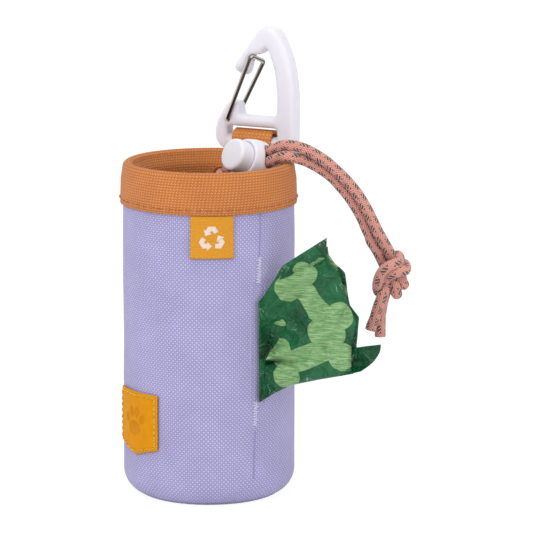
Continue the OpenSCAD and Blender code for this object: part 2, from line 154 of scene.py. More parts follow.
def addLamp(name, place, aim, size, power):
    data = bpy.data.lights.new(name, "AREA")
    data.shape = "DISK"
    data.size = size
    data.energy = power
    lamp = addObject(name, data)
    lamp.location = place
    lamp.rotation_euler = (Vector(aim) - Vector(place)).to_track_quat("-Z", "Y").to_euler()


def seenBy(tree, *rays):  # 1 for a ray of these kinds
    path = addNode(tree, "LightPath")
    seen = path.outputs[rays[0]]
    for ray in rays[1:]:
        seen = calc("MAXIMUM", seen, path.outputs[ray])
    return seen


def addStudio():
    data = bpy.data.cameras.new("studioCamera")
    data.lens = studio["lens"]
    data.sensor_width = 36
    data.clip_start, data.clip_end = 0.05, 20
    eye = addObject("studioCamera", data)
    eye.location = studio["eye"]
    eye.rotation_euler = (radians(90 - studio["pitch"]), 0, -radians(studio["yaw"]))
    bpy.context.scene.camera = eye

    # white to the camera and to gloss, a plain pale sky for everything else
    world = bpy.data.worlds.new("studioWorld")
    world.use_nodes = True
    tree = world.node_tree
    tree.nodes.clear()
    seen = seenBy(tree, "Is Camera Ray", "Is Glossy Ray", "Is Transmission Ray")
    strength = ranged(seen, least=studio["sky"])
    sky = addNode(tree, "Background", {"Color": linear(studio["paper"]), "Strength": strength})
    addNode(tree, "OutputWorld", {"Surface": sky})
    bpy.context.scene.world = world
    bpy.context.scene.view_settings.view_transform = "Standard"

    # paper floor: mostly white to the camera, with the object's own soft shadow left on it
    bm = gridOf(2, 2, 6)
    floor = addObject("paperFloor", meshFrom("paperFloor", bm))
    paper = bpy.data.materials.new("paperFloor")
    paper.use_nodes = True
    tree = paper.node_tree
    tree.nodes.clear()
    share = calc("MULTIPLY", seenBy(tree, "Is Camera Ray", "Is Glossy Ray"), studio["paperShare"])
    lit = addNode(tree, "BsdfDiffuse", {"Color": linear("#F4F4F6")})
    glow = addNode(tree, "Emission", {"Color": linear(studio["paper"]), "Strength": studio["paperGlow"]})
    both = joined("MixShader", {0: share, 1: lit, 2: glow})
    addNode(tree, "OutputMaterial", {"Surface": both})
    floor.data.materials.append(paper)

    addLamp("keyLamp", (-0.75, -0.95, 0.95), (0, 0, 0.08), 0.9, studio["key"])
    addLamp("fillLamp", (0.95, -0.75, 0.45), (0, 0, 0.08), 0.9, studio["fill"])
    addLamp("rimLamp", (0.2, 0.9, 0.8), (0, 0, 0.1), 0.7, studio["rim"])
    addLamp("glintLamp", (-0.8, -0.92, 0.28), (0, 0, 0.08), 0.1, studio["glint"])
    addLamp("topLamp", (-0.1, -0.35, 1.25), (0, 0, 0.1), 0.5, studio["top"])


addStudio()
print("studio ready")


def crossed(warp, weft, roundness):  # above 0 where the warp lies on top, and the yarns' height
    crossing = calc("MULTIPLY", calc("SINE", warp), calc("SINE", weft))
    return crossing, calc("POWER", calc("ABSOLUTE", crossing), roundness)


def wovenCloth(name, yarn, shade, crownHighlight, pitch, relief, roughness=0.9, sheen=0.25, mottle=0.1, twill=0.0):
    made, tree = newMaterial(name, yarn, roughness, Sheen_Weight=sheen, Sheen_Roughness=0.5, Specular_IOR_Level=0.35)
    uv = addNode(tree, "UVMap")
    uneven = noiseOver(uv, 0.45, 2.0)
    spot = vectored("MULTIPLY_ADD", uneven.outputs["Color"], (0.22, 0.22, 0), uv)
    split = joined("SeparateXYZ", {0: spot})
    slant = calc("MULTIPLY_ADD", split.outputs["Y"], twill, split.outputs["X"])
    warp = calc("MULTIPLY", slant, pi / pitch[0])
    weft = calc("MULTIPLY", split.outputs["Y"], pi / pitch[1])
    crossing, body = crossed(warp, weft, 0.55)
    height = calc("MULTIPLY_ADD", crossing, 0.4, body)
    # painted shade and highlight: darker towards the gaps between yarns, lighter on the crowns where the warp lies on
    # top
    base = mixed(calc("MAXIMUM", crossing, 0.0), mixed(body, shade, yarn), crownHighlight)
    patch = noiseOver(uv, 0.06, 4.0)
    tone = ranged(patch, 0.3, 0.7, 1 - mottle, 1 + mottle * 0.4)
    tint = joined("VectorMath", {0: base, "Scale": tone}, operation="SCALE")
    return wired(made, tint, bumped(height, relief))


# polyester canvas, plain weave of 0.8 mm yarns: matt, painted highlight on the yarn crowns and painted shade in the
# gaps
lilacCanvas = wovenCloth("lilacCanvas", "#ACA6CF", "#8C86BB", "#CDC9E5", (0.8, 0.8), 0.12, sheen=0.15)
# the canvas along the side seam, painted darker: painted shade in the crease the seam pulls in
lilacSeamShaded = wovenCloth("lilacSeamShaded", "#9A93C5", "#8780B6", "#AAA4D0", (0.8, 0.8), 0.1, sheen=0.1)
# the same canvas cut on the fold and pulled tight, painted a little lighter along its edge: a painted highlight
lilacBindingLit = wovenCloth("lilacBindingLit", "#BAB4DA", "#9C96C9", "#D3CFE9", (0.8, 0.8), 0.1, sheen=0.15)
# polyester tape, flat rows of slanting stitches 0.62 by 0.95 mm
apricotTape = wovenCloth("apricotTape", "#CE8046", "#A85C2B", "#E79C59", (0.62, 0.95), 0.12, sheen=0.08, twill=0.5)
# heavier nylon webbing, ribs 1.3 mm apart across its width
apricotWebbing = wovenCloth("apricotWebbing", "#DA8B45", "#C47538", "#EBA65E", (0.75, 1.3), 0.16, sheen=0.08,
    twill=0.55)
# thin woven lining, finer than the canvas
apricotLining = wovenCloth("apricotLining", "#C46A38", "#994C25", "#D88548", (0.7, 0.7), 0.08, roughness=0.92,
    sheen=0.08)


def twistedThread(name, colour, paintedShade, step=0.5):  # polyester thread, a soft shine and a slanting twist, with painted shade in the twist's grooves
    made, tree = newMaterial(name, colour, 0.6, Sheen_Weight=0.05, Specular_IOR_Level=0.3)
    place = addNode(tree, "TexCoord").outputs["Object"]
    wave = joined("TexWave", {"Vector": place, "Scale": 0.32 / (step * mm), "Distortion": 1.5},
        bands_direction="DIAGONAL")
    # painted shade: the thread darkens towards the grooves of its twist
    tone = mixed(wave.outputs["Fac"], paintedShade, colour)
    return wired(made, tone, bumped(wave.outputs["Fac"], 0.06, 0.7))


apricotThread = twistedThread("apricotThread", "#C97F45", "#8F4E22")
lilacThread = twistedThread("lilacThread", "#ECE9F8", "#C3BEE2")
yellowThread = twistedThread("yellowThread", "#F3C63A", "#B97F18")


braid = {"strands": 14, "pitch": 1.15}  # a strand is crossed every 1.15 mm
fleck = {"every": 4.6, "halfLong": 1.35, "halfWide": 0.92, "lean": 0.35, "stroke": 1.3}  # millimetres


def makeBraidedCord():  # polyester cord, 14 strands braided, with a dark fleck every 4.6 mm
    made, tree = newMaterial("braidedCord", "#E39A8A", 0.82, Sheen_Weight=0.3, Specular_IOR_Level=0.35)
    uv = addNode(tree, "UVMap")  # x runs along in millimetres, y once round from 0 to 1
    split = joined("SeparateXYZ", {0: uv})
    around = calc("MULTIPLY", split.outputs["Y"], braid["strands"] * pi)
    right = calc("MULTIPLY_ADD", split.outputs["X"], pi / braid["pitch"], around)
    left = calc("MULTIPLY_ADD", split.outputs["X"], pi / braid["pitch"], calc("MULTIPLY", around, -1.0))
    body = crossed(right, left, 0.5)[1]
    # four rows of flecks round the cord, every other row half a step on
    rows = calc("MULTIPLY", split.outputs["Y"], 4.0)
    across = ranged(calc("FRACT", rows), 0.0, 1.0, -1.57, 1.57)
    half = calc("MULTIPLY", calc("FLOOR", rows), 0.5)
    steps = calc("MULTIPLY_ADD", split.outputs["X"], 1 / fleck["every"], half)
    along = ranged(calc("FRACT", steps), 0.0, 1.0, -fleck["every"] / 2, fleck["every"] / 2)
    wide = calc("MULTIPLY_ADD", across, fleck["lean"], calc("MULTIPLY", along, 1 / fleck["halfLong"]))
    tall = calc("MULTIPLY", across, 1 / fleck["halfWide"])
    reach = calc("MAXIMUM", calc("ABSOLUTE", tall), calc("ABSOLUTE", wide))
    stroke = calc("MULTIPLY_ADD", across, -0.75, along)
    stroke = calc("COSINE", calc("MULTIPLY", stroke, 2 * pi / fleck["stroke"]))
    inked = calc("MULTIPLY", calc("LESS_THAN", reach, 1.0), calc("LESS_THAN", stroke, 0.3))
    # the strands' colour runs from painted shade in the gaps between them to painted highlight on their crowns; the
    # dark flecks are the cord's own
    colour = mixed(inked, mixed(body, "#C06A5D", "#F5B2A2"), "#46524F")
    return wired(made, colour, bumped(body, 0.3))


def makeMouldedPlastic():  # acetal, injection moulded: satin, pale, a trace of light in its edges
    made, tree = newMaterial("mouldedPlastic", "#E6E4EC", 0.34, IOR=1.48, Specular_IOR_Level=0.3,
        Subsurface_Weight=0.12, Subsurface_Scale=0.002, Subsurface_Radius=(1.0, 0.9, 1.0))
    place = addNode(tree, "TexCoord").outputs["Object"]
    flow = noiseOver(place, 130.0, 3.0)
    tone = mixed(flow, "#E3E1EA", "#E8E6EE")
    grain = noiseOver(place, 2600.0, 1.0)
    gloss = ranged(grain, least=0.28, most=0.42)
    return wired(made, tone, bumped(grain, 0.03, 0.25), gloss)


def drawnWire(name, colour, roughness):  # stainless steel wire, drawn and polished, faint marks along it; the colour runs from its dark tone to a pale one in painted reflection streaks
    made, tree = newMaterial(name, colour, roughness, Metallic=1.0)
    place = addNode(tree, "TexCoord")
    grain = noiseOver(place.outputs["Object"], 900.0, 3.0)
    gloss = ranged(grain, least=roughness * 0.7, most=roughness * 1.5)
    facing = vectored("DOT_PRODUCT", place.outputs["Normal"], (0.55, -0.6, 0.58))
    reflectionBand = calc("SINE", calc("MULTIPLY_ADD", facing.outputs["Value"], 5.2, 1.9))
    reflectionBand = ranged(reflectionBand, -0.7, 0.7)  # painted reflection: the dark and bright streaks of a polished round, set by which way the surface faces
    tone = mixed(reflectionBand, colour, "#D6D2CB")
    return wired(made, tone, bumped(grain, 0.02, 0.2), gloss)


def makeTannedLeather():  # dyed cow leather, pressed: fine grain of 0.5 mm cells, darker where it is pressed in
    made, tree = newMaterial("tannedLeather", "#D88E0A", 0.55, Specular_IOR_Level=0.08)
    uv = addNode(tree, "UVMap")
    cells = joined("TexVoronoi", {"Vector": uv, "Scale": 2.0, "Randomness": 1.0}, feature="DISTANCE_TO_EDGE")
    grain = ranged(cells, 0.0, 0.22)
    blotch = noiseOver(uv, 0.3, 5.0)
    pressed = addNode(tree, "Attribute", attribute_name="pressed")
    tone = mixed(pressed.outputs["Fac"], mixed(blotch, "#CC8206", "#E2980C"), "#9A5A08")
    bump = bumped(grain, 0.06, 0.5)
    gloss = ranged(grain, least=0.62, most=0.46)
    return wired(made, tone, bump, gloss)


def makeLabelSatin():  # woven satin ribbon: soft shine, weft lines 0.28 mm apart
    made, tree = newMaterial("labelSatin", "#D08A18", 0.5, Sheen_Weight=0.06, Specular_IOR_Level=0.25)
    uv = addNode(tree, "UVMap")
    split = joined("SeparateXYZ", {0: uv})
    line = calc("MULTIPLY", split.outputs["Y"], 2 * pi / 0.56)  # drawn twice as coarse, to show
    wave = calc("SINE", line)
    fibre = noiseOver(uv, 1.6, 4.0)
    level = ranged(calc("MULTIPLY_ADD", wave, 0.12, fibre), 0.2, 0.8)
    tone = mixed(level, "#C57F14", "#DC9A26")
    return wired(made, tone, bumped(wave, 0.04, 0.6))


def makeLabelPrint():  # thin matt ink on the satin, broken a little by its weave
    made, tree = newMaterial("labelPrint", "#EAD8CF", 0.7)
    place = addNode(tree, "TexCoord").outputs["Object"]
    wear = noiseOver(place, 1500.0, 2.0)
    tone = mixed(wear, "#D9BDA6", "#E9D9CE")
    return wired(made, tone)


# middle, turn, half length, half width and knob of each printed bone, millimetres
filmPrint = {"bones": [(20.5, 76.0, -48, 9.8, 4.2, 5.0), (20.0, 57.0, 22, 10.8, 4.2, 4.9)]}


def makeBagFilm():  # thin polythene film: glossy, crumpled, with big pale bones printed on dark green
    made, tree = newMaterial("bagFilm", "#14663A", 0.24, IOR=1.51, Specular_IOR_Level=0.36)
    uv = addNode(tree, "UVMap")  # millimetres on the flat film
    wander = noiseOver(uv, 0.12, 1.0)
    spot = vectored("MULTIPLY_ADD", wander.outputs["Color"], (2.6, 2.6, 0), uv)
    shape = None
    for x, y, turn, halfLong, halfWide, knobSize in filmPrint["bones"]:
        local = joined("Mapping", {"Vector": spot, "Location": (x + 1.3, y + 1.3, 0),
            "Rotation": (0, 0, radians(turn))}, vector_type="TEXTURE")
        folded = vectored("ABSOLUTE", local)
        knob = vectored("DISTANCE", folded, (halfLong, halfWide, 0))
        knob = calc("SUBTRACT", knob.outputs["Value"], knobSize)
        parts = joined("SeparateXYZ", {0: folded})
        endWay = calc("SUBTRACT", parts.outputs["X"], halfLong)
        sideWay = calc("SUBTRACT", parts.outputs["Y"], halfWide * 0.95)
        one = calc("MINIMUM", knob, calc("MAXIMUM", endWay, sideWay))
        shape = one if shape is None else calc("MINIMUM", shape, one)
    printed = ranged(shape, 0.12, -0.12)
    # fine stretch lines, 0.7 mm apart, strongest in the ink
    turned = joined("Mapping", {"Vector": uv, "Rotation": (0, 0, radians(-22)), "Scale": (0.07, 1.0, 1.0)},
        vector_type="POINT")
    lines = noiseOver(turned, 2.6, 2.0, Roughness=0.6)
    crumple = joined("TexVoronoi", {"Vector": spot, "Scale": 0.17}, feature="F1")
    small = noiseOver(uv, 0.42, 4.0, Roughness=0.6, Distortion=1.6)
    height = calc("MULTIPLY", lines, ranged(printed, least=0.1, most=0.55))
    height = calc("MULTIPLY_ADD", small, 0.9, height)
    height = calc("MULTIPLY_ADD", crumple, 1.6, height)
    green = mixed(ranged(noiseOver(uv, 0.09, 3.0), 0.35, 0.65), "#02502A", "#0C683A")
    pale = mixed(ranged(lines, 0.38, 0.62), "#639C58", "#A3C98F")
    tone = mixed(printed, green, pale)
    paintedShade = addNode(tree, "Attribute", attribute_name="paintedShade")  # painted shade: the film darkened in its folds and hollows
    tone = mixed(paintedShade.outputs["Fac"], tone, "#042413")
    away = calc("SUBTRACT", noiseOver(spot, 0.2, 3.0, Distortion=0.9), 0.5)
    paintedGlint = ranged(calc("ABSOLUTE", away), 0.02, 0.0, most=0.5)  # painted highlight: pale glint lines on the film's gloss
    paintedGlint = calc("MULTIPLY", paintedGlint, ranged(noiseOver(uv, 0.13, 1.0), 0.56, 0.66))
    tone = mixed(paintedGlint, tone, "#BFD8C8")
    gloss = ranged(printed, least=0.14, most=0.3)
    return wired(made, tone, bumped(height, 1.4), gloss)


def makeRolledFilm():  # the same film wound tight: plain green, fine rings on its ends
    made, tree = newMaterial("rolledFilm", "#14663A", 0.32, IOR=1.51, Specular_IOR_Level=0.3)
    place = addNode(tree, "TexCoord").outputs["Object"]
    split = joined("SeparateXYZ", {0: place})
    flat = joined("CombineXYZ", {"X": split.outputs["X"], "Y": split.outputs["Y"]})
    reach = vectored("LENGTH", flat)
    ring = calc("MULTIPLY", reach.outputs["Value"], 2 * pi / (0.8 * mm))  # layers drawn coarse, to show
    ring = calc("SINE", ring)
    crease = noiseOver(place, 160.0, 4.0, Distortion=1.0)
    height = calc("MULTIPLY_ADD", ring, 0.3, crease)
    # painted shade: the green darkens in the low parts of the crease relief and lightens on its crests
    tone = mixed(crease, "#0A5A30", "#1F7346")
    return wired(made, tone, bumped(height, 0.25, 0.6))


def makeKraftBoard():  # grey-brown board, spiral wound, with short fibres
    made, tree = newMaterial("kraftBoard", "#B79A74", 0.9)
    place = addNode(tree, "TexCoord").outputs["Object"]
    fibre = noiseOver(place, 700.0, 5.0, Distortion=0.6)
    tone = mixed(fibre, "#9C8058", "#CBB08A")
    return wired(made, tone, bumped(fibre, 0.08, 0.5))


braidedCord = makeBraidedCord()
mouldedPlastic = makeMouldedPlastic()
# dark steel tone: the dark side of the painted reflection streaks
gateSteel = drawnWire("gateSteel", "#57514A", 0.18)
springSteel = drawnWire("springSteel", "#8C8C90", 0.3)
tannedLeather = makeTannedLeather()
labelSatin = makeLabelSatin()
labelPrint = makeLabelPrint()
bagFilm = makeBagFilm()
rolledFilm = makeRolledFilm()
kraftBoard = makeKraftBoard()
print("materials ready")


def wobble(x, y, z):
    return noise.noise(Vector((x, y, z)))


def outward(turn):  # 0 faces the front, 90 the right
    return Vector((sin(radians(turn)), -cos(radians(turn)), 0))


def stoodOut(co, turn, radius=0, up=0):  # x across, y out and z up, turned to face one way
    way = outward(turn)
    return way * (radius + co.y) + Vector((-way.y, way.x, 0)) * co.x + Vector((0, 0, up + co.z))


def swell(turn, z):  # how far the pouch's cloth stands off a true tube, mm
    way = outward(turn)
    slow = wobble(way.x * 1.4, way.y * 1.4, z / 36)
    quick = wobble(way.x * 3.4 + 7, way.y * 3.4, z / 15)
    return 0.30 * slow + 0.10 * quick + 0.0035 * (60 - z)


def relax(bm):  # gives all the pouch's cloth the same soft unevenness
    for vert in bm.verts:
        reach = hypot(vert.co.x, vert.co.y)
        if reach > 1:
            turn = degrees(atan2(vert.co.x, -vert.co.y))
            grow = 1 + swell(turn, vert.co.z) * min(1, reach / 28) / reach
            vert.co.x *= grow
            vert.co.y *= grow


def wrap(bm, turn, radius):  # flat work (x across, y off the cloth, z up) laid on the pouch's wall
    for vert in bm.verts:
        way = outward(turn + degrees(vert.co.x / radius))
        vert.co = way * (radius + vert.co.y) + Vector((0, 0, vert.co.z))


def setUv(bm, spotOf):  # spotOf gives each corner's spot on the flat material, in millimetres
    layer = bm.loops.layers.uv.verify()
    for face in bm.faces:
        for loop in face.loops:
            loop[layer].uv = spotOf(loop)


def spinLine(line, steps=192):  # a line of (radius, height) points spun into a shell
    bm = bmesh.new()
    verts = [bm.verts.new((0, -r, z)) for r, z in line]
    edges = [bm.edges.new(pair) for pair in zip(verts, verts[1:])]
    bmesh.ops.spin(bm, geom=verts + edges, cent=(0, 0, 0), axis=(0, 0, 1), angle=2 * pi, steps=steps, use_merge=True)
    bmesh.ops.remove_doubles(bm, verts=bm.verts, dist=0.0005)
    return bm


def spunUv(bm, line, radius):  # round the pouch and along the line, in millimetres
    layer = bm.loops.layers.uv.verify()
    sums = [0.0]
    for a, b in zip(line, line[1:]):
        sums.append(sums[-1] + dist(a, b))
    for face in bm.faces:
        middle = face.calc_center_median()
        facing = atan2(middle.x, -middle.y)
        for loop in face.loops:
            co = loop.vert.co
            turn = atan2(co.x, -co.y)
            turn += 2 * pi * round((facing - turn) / (2 * pi))
            spot = (hypot(co.x, co.y), co.z)
            best, along = 1e9, 0.0
            for k, (a, b) in enumerate(zip(line, line[1:])):
                span = dist(a, b) ** 2 or 1e-9
                t = ((spot[0] - a[0]) * (b[0] - a[0]) + (spot[1] - a[1]) * (b[1] - a[1])) / span
                t = min(1, max(0, t))
                gap = dist(spot, (a[0] + t * (b[0] - a[0]), a[1] + t * (b[1] - a[1])))
                if gap < best:
                    best, along = gap, sums[k] + t * (sums[k + 1] - sums[k])
            loop[layer].uv = (turn * radius, along)


def arcPoints(cx, cz, radius, start, end, count):
    turns = [radians(start + (end - start) * i / count) for i in range(count + 1)]
    return [(cx + radius * cos(turn), cz + radius * sin(turn)) for turn in turns]


def denser(line, step):  # the same line with no stretch longer than step
    out = [line[0]]
    for a, b in zip(line, line[1:]):
        parts = max(1, round(dist(a, b) / step))
        out += [tuple(p + (q - p) * k / parts for p, q in zip(a, b)) for k in range(1, parts + 1)]
    return out


def smoothPath(points, step):  # an even path through the points
    pts = [Vector(p) for p in points]
    pts = [2 * pts[0] - pts[1]] + pts + [2 * pts[-1] - pts[-2]]
    fine = []
    for a, b, c, d in zip(pts, pts[1:], pts[2:], pts[3:]):
        for k in range(12):
            t = k / 12
            cubic = (3 * b - a - 3 * c + d) * t**3
            fine.append(0.5 * (2 * b + (c - a) * t + (2 * a - 5 * b + 4 * c - d) * t * t + cubic))
    fine.append(pts[-2])
    total = sum((q - p).length for p, q in zip(fine, fine[1:]))
    count = max(2, round(total / step))
    out, walked, want = [fine[0]], 0.0, total / count
    for p, q in zip(fine, fine[1:]):
        span = (q - p).length
        while span and walked + span >= want - 1e-9 and len(out) < count:
            out.append(p.lerp(q, (want - walked) / span))
            want += total / count
        walked += span
    out.append(fine[-1])
    return out


def finish(name, bm, material, body, stands=(), outwards=True):
    if outwards:
        bmesh.ops.recalc_face_normals(bm, faces=bm.faces)
    piece = addObject(name, meshFrom(name, bm, mm))
    piece.data.shade_smooth()
    piece.data.materials.append(material)
    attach(piece, body)
    if stands:
        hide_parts(*stands)
    return piece


def modify(piece, kind, **settings):
    modifier = piece.modifiers.new(kind.title().replace("_", ""), kind)
    for key, value in settings.items():
        setattr(modifier, key, value)
    return modifier


def settle(piece):  # makes a piece's modifiers part of its mesh
    graph = bpy.context.evaluated_depsgraph_get()
    mesh = bpy.data.meshes.new_from_object(piece.evaluated_get(graph), preserve_all_data_layers=True, depsgraph=graph)
    piece.modifiers.clear()
    old, piece.data = piece.data, mesh
    mesh.name = piece.name
    bpy.data.meshes.remove(old)
    return piece


def thickened(piece, thickness, offset=0, even=True):
    modify(piece, "SOLIDIFY", thickness=thickness * mm, offset=offset, use_even_offset=even)
    settle(piece)


def pushed(bm, vec):  # a flat shape drawn out into a solid
    grown = bmesh.ops.extrude_face_region(bm, geom=list(bm.faces))["geom"]
    bmesh.ops.translate(bm, verts=[g for g in grown if isinstance(g, bmesh.types.BMVert)], vec=vec)


def joinInto(bm, part):
    mesh = meshFrom("part", part)
    bm.from_mesh(mesh)
    bpy.data.meshes.remove(mesh)


# a tube along an open path, or a closed one
def tubeBetween(bm, path, radius, sides=12, squash=1.0, side=None, ringed=False):
    pts = [Vector(p) for p in path]
    places = []
    for i, spot in enumerate(pts):
        before = pts[i - 1] if ringed else pts[max(i - 1, 0)]
        after = pts[(i + 1) % len(pts)] if ringed else pts[min(i + 1, len(pts) - 1)]
        way = (after - before).normalized()
        side = Vector(side) if side else way.orthogonal()
        side = (side - way * side.dot(way)).normalized()
        size = radius[i] if isinstance(radius, list) else radius
        turned = Matrix((side, way.cross(side), way)).transposed().to_4x4()
        places.append(Matrix.Translation(spot) @ turned @ Matrix.Diagonal((size, size * squash, size, 1)))
    part = bmesh.new()
    bmesh.ops.create_circle(part, cap_ends=not ringed, segments=sides, radius=1, matrix=places[0])
    rim = first = list(part.edges)
    for a, b in zip(places, places[1:]):
        grown = bmesh.ops.extrude_edge_only(part, edges=rim)["geom"]
        ends = {g for g in grown if isinstance(g, bmesh.types.BMVert)}
        rim = [g for g in grown if isinstance(g, bmesh.types.BMEdge) and ends.issuperset(g.verts)]
        bmesh.ops.transform(part, matrix=b @ a.inverted(), verts=list(ends))
    if ringed:
        bmesh.ops.bridge_loops(part, edges=first + rim)
    else:
        bmesh.ops.holes_fill(part, edges=rim, sides=0)
    joinInto(bm, part)


def laid(name, bm, turn, radius, material, stands, cloth=False):  # flat work finished on the pouch
    if cloth:
        setUv(bm, lambda loop: (loop.vert.co.x, loop.vert.co.z))
    wrap(bm, turn, radius)
    relax(bm)
    return finish(name, bm, material, "pouch", stands)


def cordTube(name, points, radius, step, body, stands, sides=20):  # a braided cord along its path
    path = smoothPath(points, step)
    curve = bpy.data.curves.new(name, "CURVE")
    curve.dimensions = "3D"
    curve.bevel_depth = radius
    curve.bevel_resolution = (sides - 4) // 2
    curve.use_fill_caps = True
    spline = curve.splines.new("POLY")
    spline.points.add(len(path) - 1)
    for point, spot in zip(spline.points, path):
        point.co = (*spot, 1)
    drawn = addObject(name, curve)
    graph = bpy.context.evaluated_depsgraph_get()
    bm = bmesh.new()
    bm.from_mesh(bpy.data.meshes.new_from_object(drawn.evaluated_get(graph), depsgraph=graph))
    bpy.data.objects.remove(drawn)
    long = sum((q - p).length for p, q in zip(path, path[1:]))
    layer = bm.loops.layers.uv.verify()
    setUv(bm, lambda loop: (loop[layer].uv.x * long, loop[layer].uv.y))
    bmesh.ops.remove_doubles(bm, verts=bm.verts, dist=0.001)
    piece = finish(name, bm, braidedCord, body, stands)
    return piece, [spot * mm for spot in path], long * mm


cords = {
    "thick": 4.0,
    "upper": [(10.5, 24.67, 113), (9.4, 22, 113.3), (7.8, 18.6, 114.4), (6.9, 15, 115.7), (8, 11.5, 117.4),
        (17, 3.25, 122.5), (26, -5, 127.6), (29.6, -7, 128.15), (33.9, -8.2, 127.35), (38.3, -8.7, 125.2),
        (42.4, -8.9, 122.45), (45.6, -9, 119.6), (48.6, -9, 116.7), (51.2, -9.1, 113.8), (53.4, -9.2, 111),
        (55.2, -9.2, 108.2), (56.8, -9.2, 105.4), (58.3, -9.2, 102.4), (59.7, -9.2, 99.5), (61.1, -9.2, 96.6)],
    "lower": [(4.65, 26.39, 113), (4.4, 23.4, 112.5), (4.3, 19.3, 111.3), (5.5, 14, 111.6), (8, 9.3, 113.8),
        (17, 1.05, 118.9), (26, -7.2, 124), (29.4, -8.3, 124.2), (32.8, -7.1, 123.3), (36.5, -6.2, 121.7),
        (41.2, -6, 118.9), (44.9, -6.1, 115.95), (47.7, -6.2, 112.85), (50.2, -6.3, 109.85), (52.2, -6.3, 106.85),
        (54, -6.4, 103.95), (55.5, -6.4, 101), (56.7, -6.4, 98.1), (58.1, -6.4, 95.1)],
    "knotMiddle": (65.6, -8.5, 80),
    "channel": (28.9, 113),  # radius and height of the run inside the collar
}
# strands through the overhand knot, from its middle: across, up, towards the front
knotUpper = [(-3.1, 14.2, 0.6), (-0.8, 10, 0.2), (1.0, 6.4, -0.8), (2.1, 2.6, -1.4), (2.9, -0.4, -1.4),
    (4.2, -2.3, -1.1), (5.0, -3.0, -2.4), (4.7, -2.8, -4.6), (4.2, -0.6, -5.6), (4.3, 2.4, -5.0), (5.0, 4.4, -2.6),
    (5.5, 4.0, 0.2), (4.9, 3.2, 2.9), (2.7, 3.2, 4.5), (0.3, 2.4, 4.6), (-1.6, 0.8, 3.2), (-2.9, -1.4, 1.0),
    (-3.4, -3.8, -1.4), (-1.6, -4.6, -3.4), (0.2, -2.4, -3.0), (-0.2, -2.2, -1.4), (-1.4, -4.2, 0.2),
    (-2.35, -6.9, 1.0), (-3.0, -10, 0.6), (-3.5, -13.9, 0.2), (-3.6, -17.6, 0.2), (-3.6, -21.6, 0.2)]
knotLower = [(-7.0, 13.2, -1.9), (-4.7, 9.6, -1.3), (-2.9, 6.0, -1.5), (-1.3, 2.8, -1.2), (0.6, -0.4, 0.7),
    (1.7, -3.4, 1.9), (2.2, -5.5, 1.2), (2.4, -6.1, -1.2), (2.0, -5.7, -4.4), (1.2, -3.2, -7.4), (1.3, 1.4, -8.0),
    (2.0, 5.2, -6.6), (2.7, 7.4, -3.6), (3.1, 7.2, -0.6), (2.9, 6.4, 2.2), (1.5, 6.0, 4.6), (-0.7, 5.5, 5.8),
    (-3.0, 3.6, 5.6), (-4.4, 0.6, 4.6), (-4.8, -2.4, 3.2), (-4.3, -4.8, 0.6), (-3.0, -5.6, -2.4), (-0.6, -5.0, -4.4),
    (0.8, -2.6, -3.4), (0.0, -1.6, -0.8), (-1.7, -2.9, 1.8), (-2.7, -4.6, 3.6), (-3.5, -6.9, 4.2), (-4.6, -10, 3.6),
    (-5.6, -13.9, 2.8), (-6.7, -17.0, 2.0), (-7.2, -18.8, 1.8)]


def knotted(points):
    cx, cy, cz = cords["knotMiddle"]
    return [(cx + x, cy - front, cz + up) for x, up, front in points]


for name, route, knot, stands in (
    ("drawcordUpperStrand", cords["upper"], knotUpper, ("drawcord_upper", "drawcord_knot")),
    ("drawcordLowerStrand", cords["lower"], knotLower, ("drawcord_lower", "drawcord_ends")),
):
    cord, path, long = cordTube(name, route + knotted(knot), cords["thick"] / 2, 0.8, "pouch", stands)
reach, high = cords["channel"]
hiddenArc = [(reach * sin(radians(t)), -reach * cos(radians(t)), high) for t in range(172, 516, 6)]
cordTube("drawcordInChannel", hiddenArc, 2.0, 2.0, "pouch", ("drawcord_in_channel",), sides=12)

pouch = {
    "radius": 31.2,
    "wall": 0.9,
    "corner": 8.2,
    "cornerTurn": 58,
    "collarBottom": 107.0,
    "rim": 121.9,
    "liningRadius": 29.85,
    "liningWall": 0.6,
    "pipingRadius": 25.62,
    "weaveRadius": 246 * 0.8 / (2 * pi),  # a whole number of yarns round the tube
}
slit = {
    "lean": 0.032,
    "turn": 34.7,
    "foot": 36.0,
    "long": 47.0,
    "wide": 5.0,
    "edge": 0.8,
    "tacks": [(81.6, 90.8, 3), (29.7, 38.6, 11)],  # foot, top, seed
    "seams": [(91.4, 106.6), (10.2, 27.4)],
}


def leanWork(bm, share=1.0):  # the slit and its seam run down to the left a little
    for vert in bm.verts:
        vert.co.x += share * slit["lean"] * (vert.co.z - 87.5)


def cutSlit(piece, wide, long):
    bm = bmesh.new()
    upright = Matrix.Rotation(radians(90), 4, "X")
    bmesh.ops.create_circle(bm, cap_ends=True, segments=32, radius=wide / 2, matrix=upright)
    for vert in bm.verts:  # the two halves drawn apart, and out to the pouch's wall
        half = 1 if vert.co.z + vert.co.x * 1e-3 > 0 else -1
        vert.co.z += (long - wide) / 2 * half + slit["foot"] + slit["long"] / 2
        vert.co.y = 24
    pushed(bm, (0, 14, 0))
    leanWork(bm, 0.4)
    for vert in bm.verts:
        vert.co = stoodOut(vert.co, slit["turn"])
    bmesh.ops.recalc_face_normals(bm, faces=bm.faces)
    cutter = addObject("slitCutter", meshFrom("slitCutter", bm, mm))
    modify(piece, "BOOLEAN", object=cutter, operation="DIFFERENCE", solver="EXACT")
    settle(piece)
    bpy.data.objects.remove(cutter)


def shell(name, line, wall, material, stands, steps=192, radius=None, cut=True):
    bm = spinLine(line, steps)
    spunUv(bm, line, radius or pouch["weaveRadius"])
    relax(bm)
    piece = finish(name, bm, material, "pouch", stands)
    thickened(piece, wall)
    if cut:
        cutSlit(piece, slit["wide"] + 1.9, slit["long"] + 1.9)
    return piece


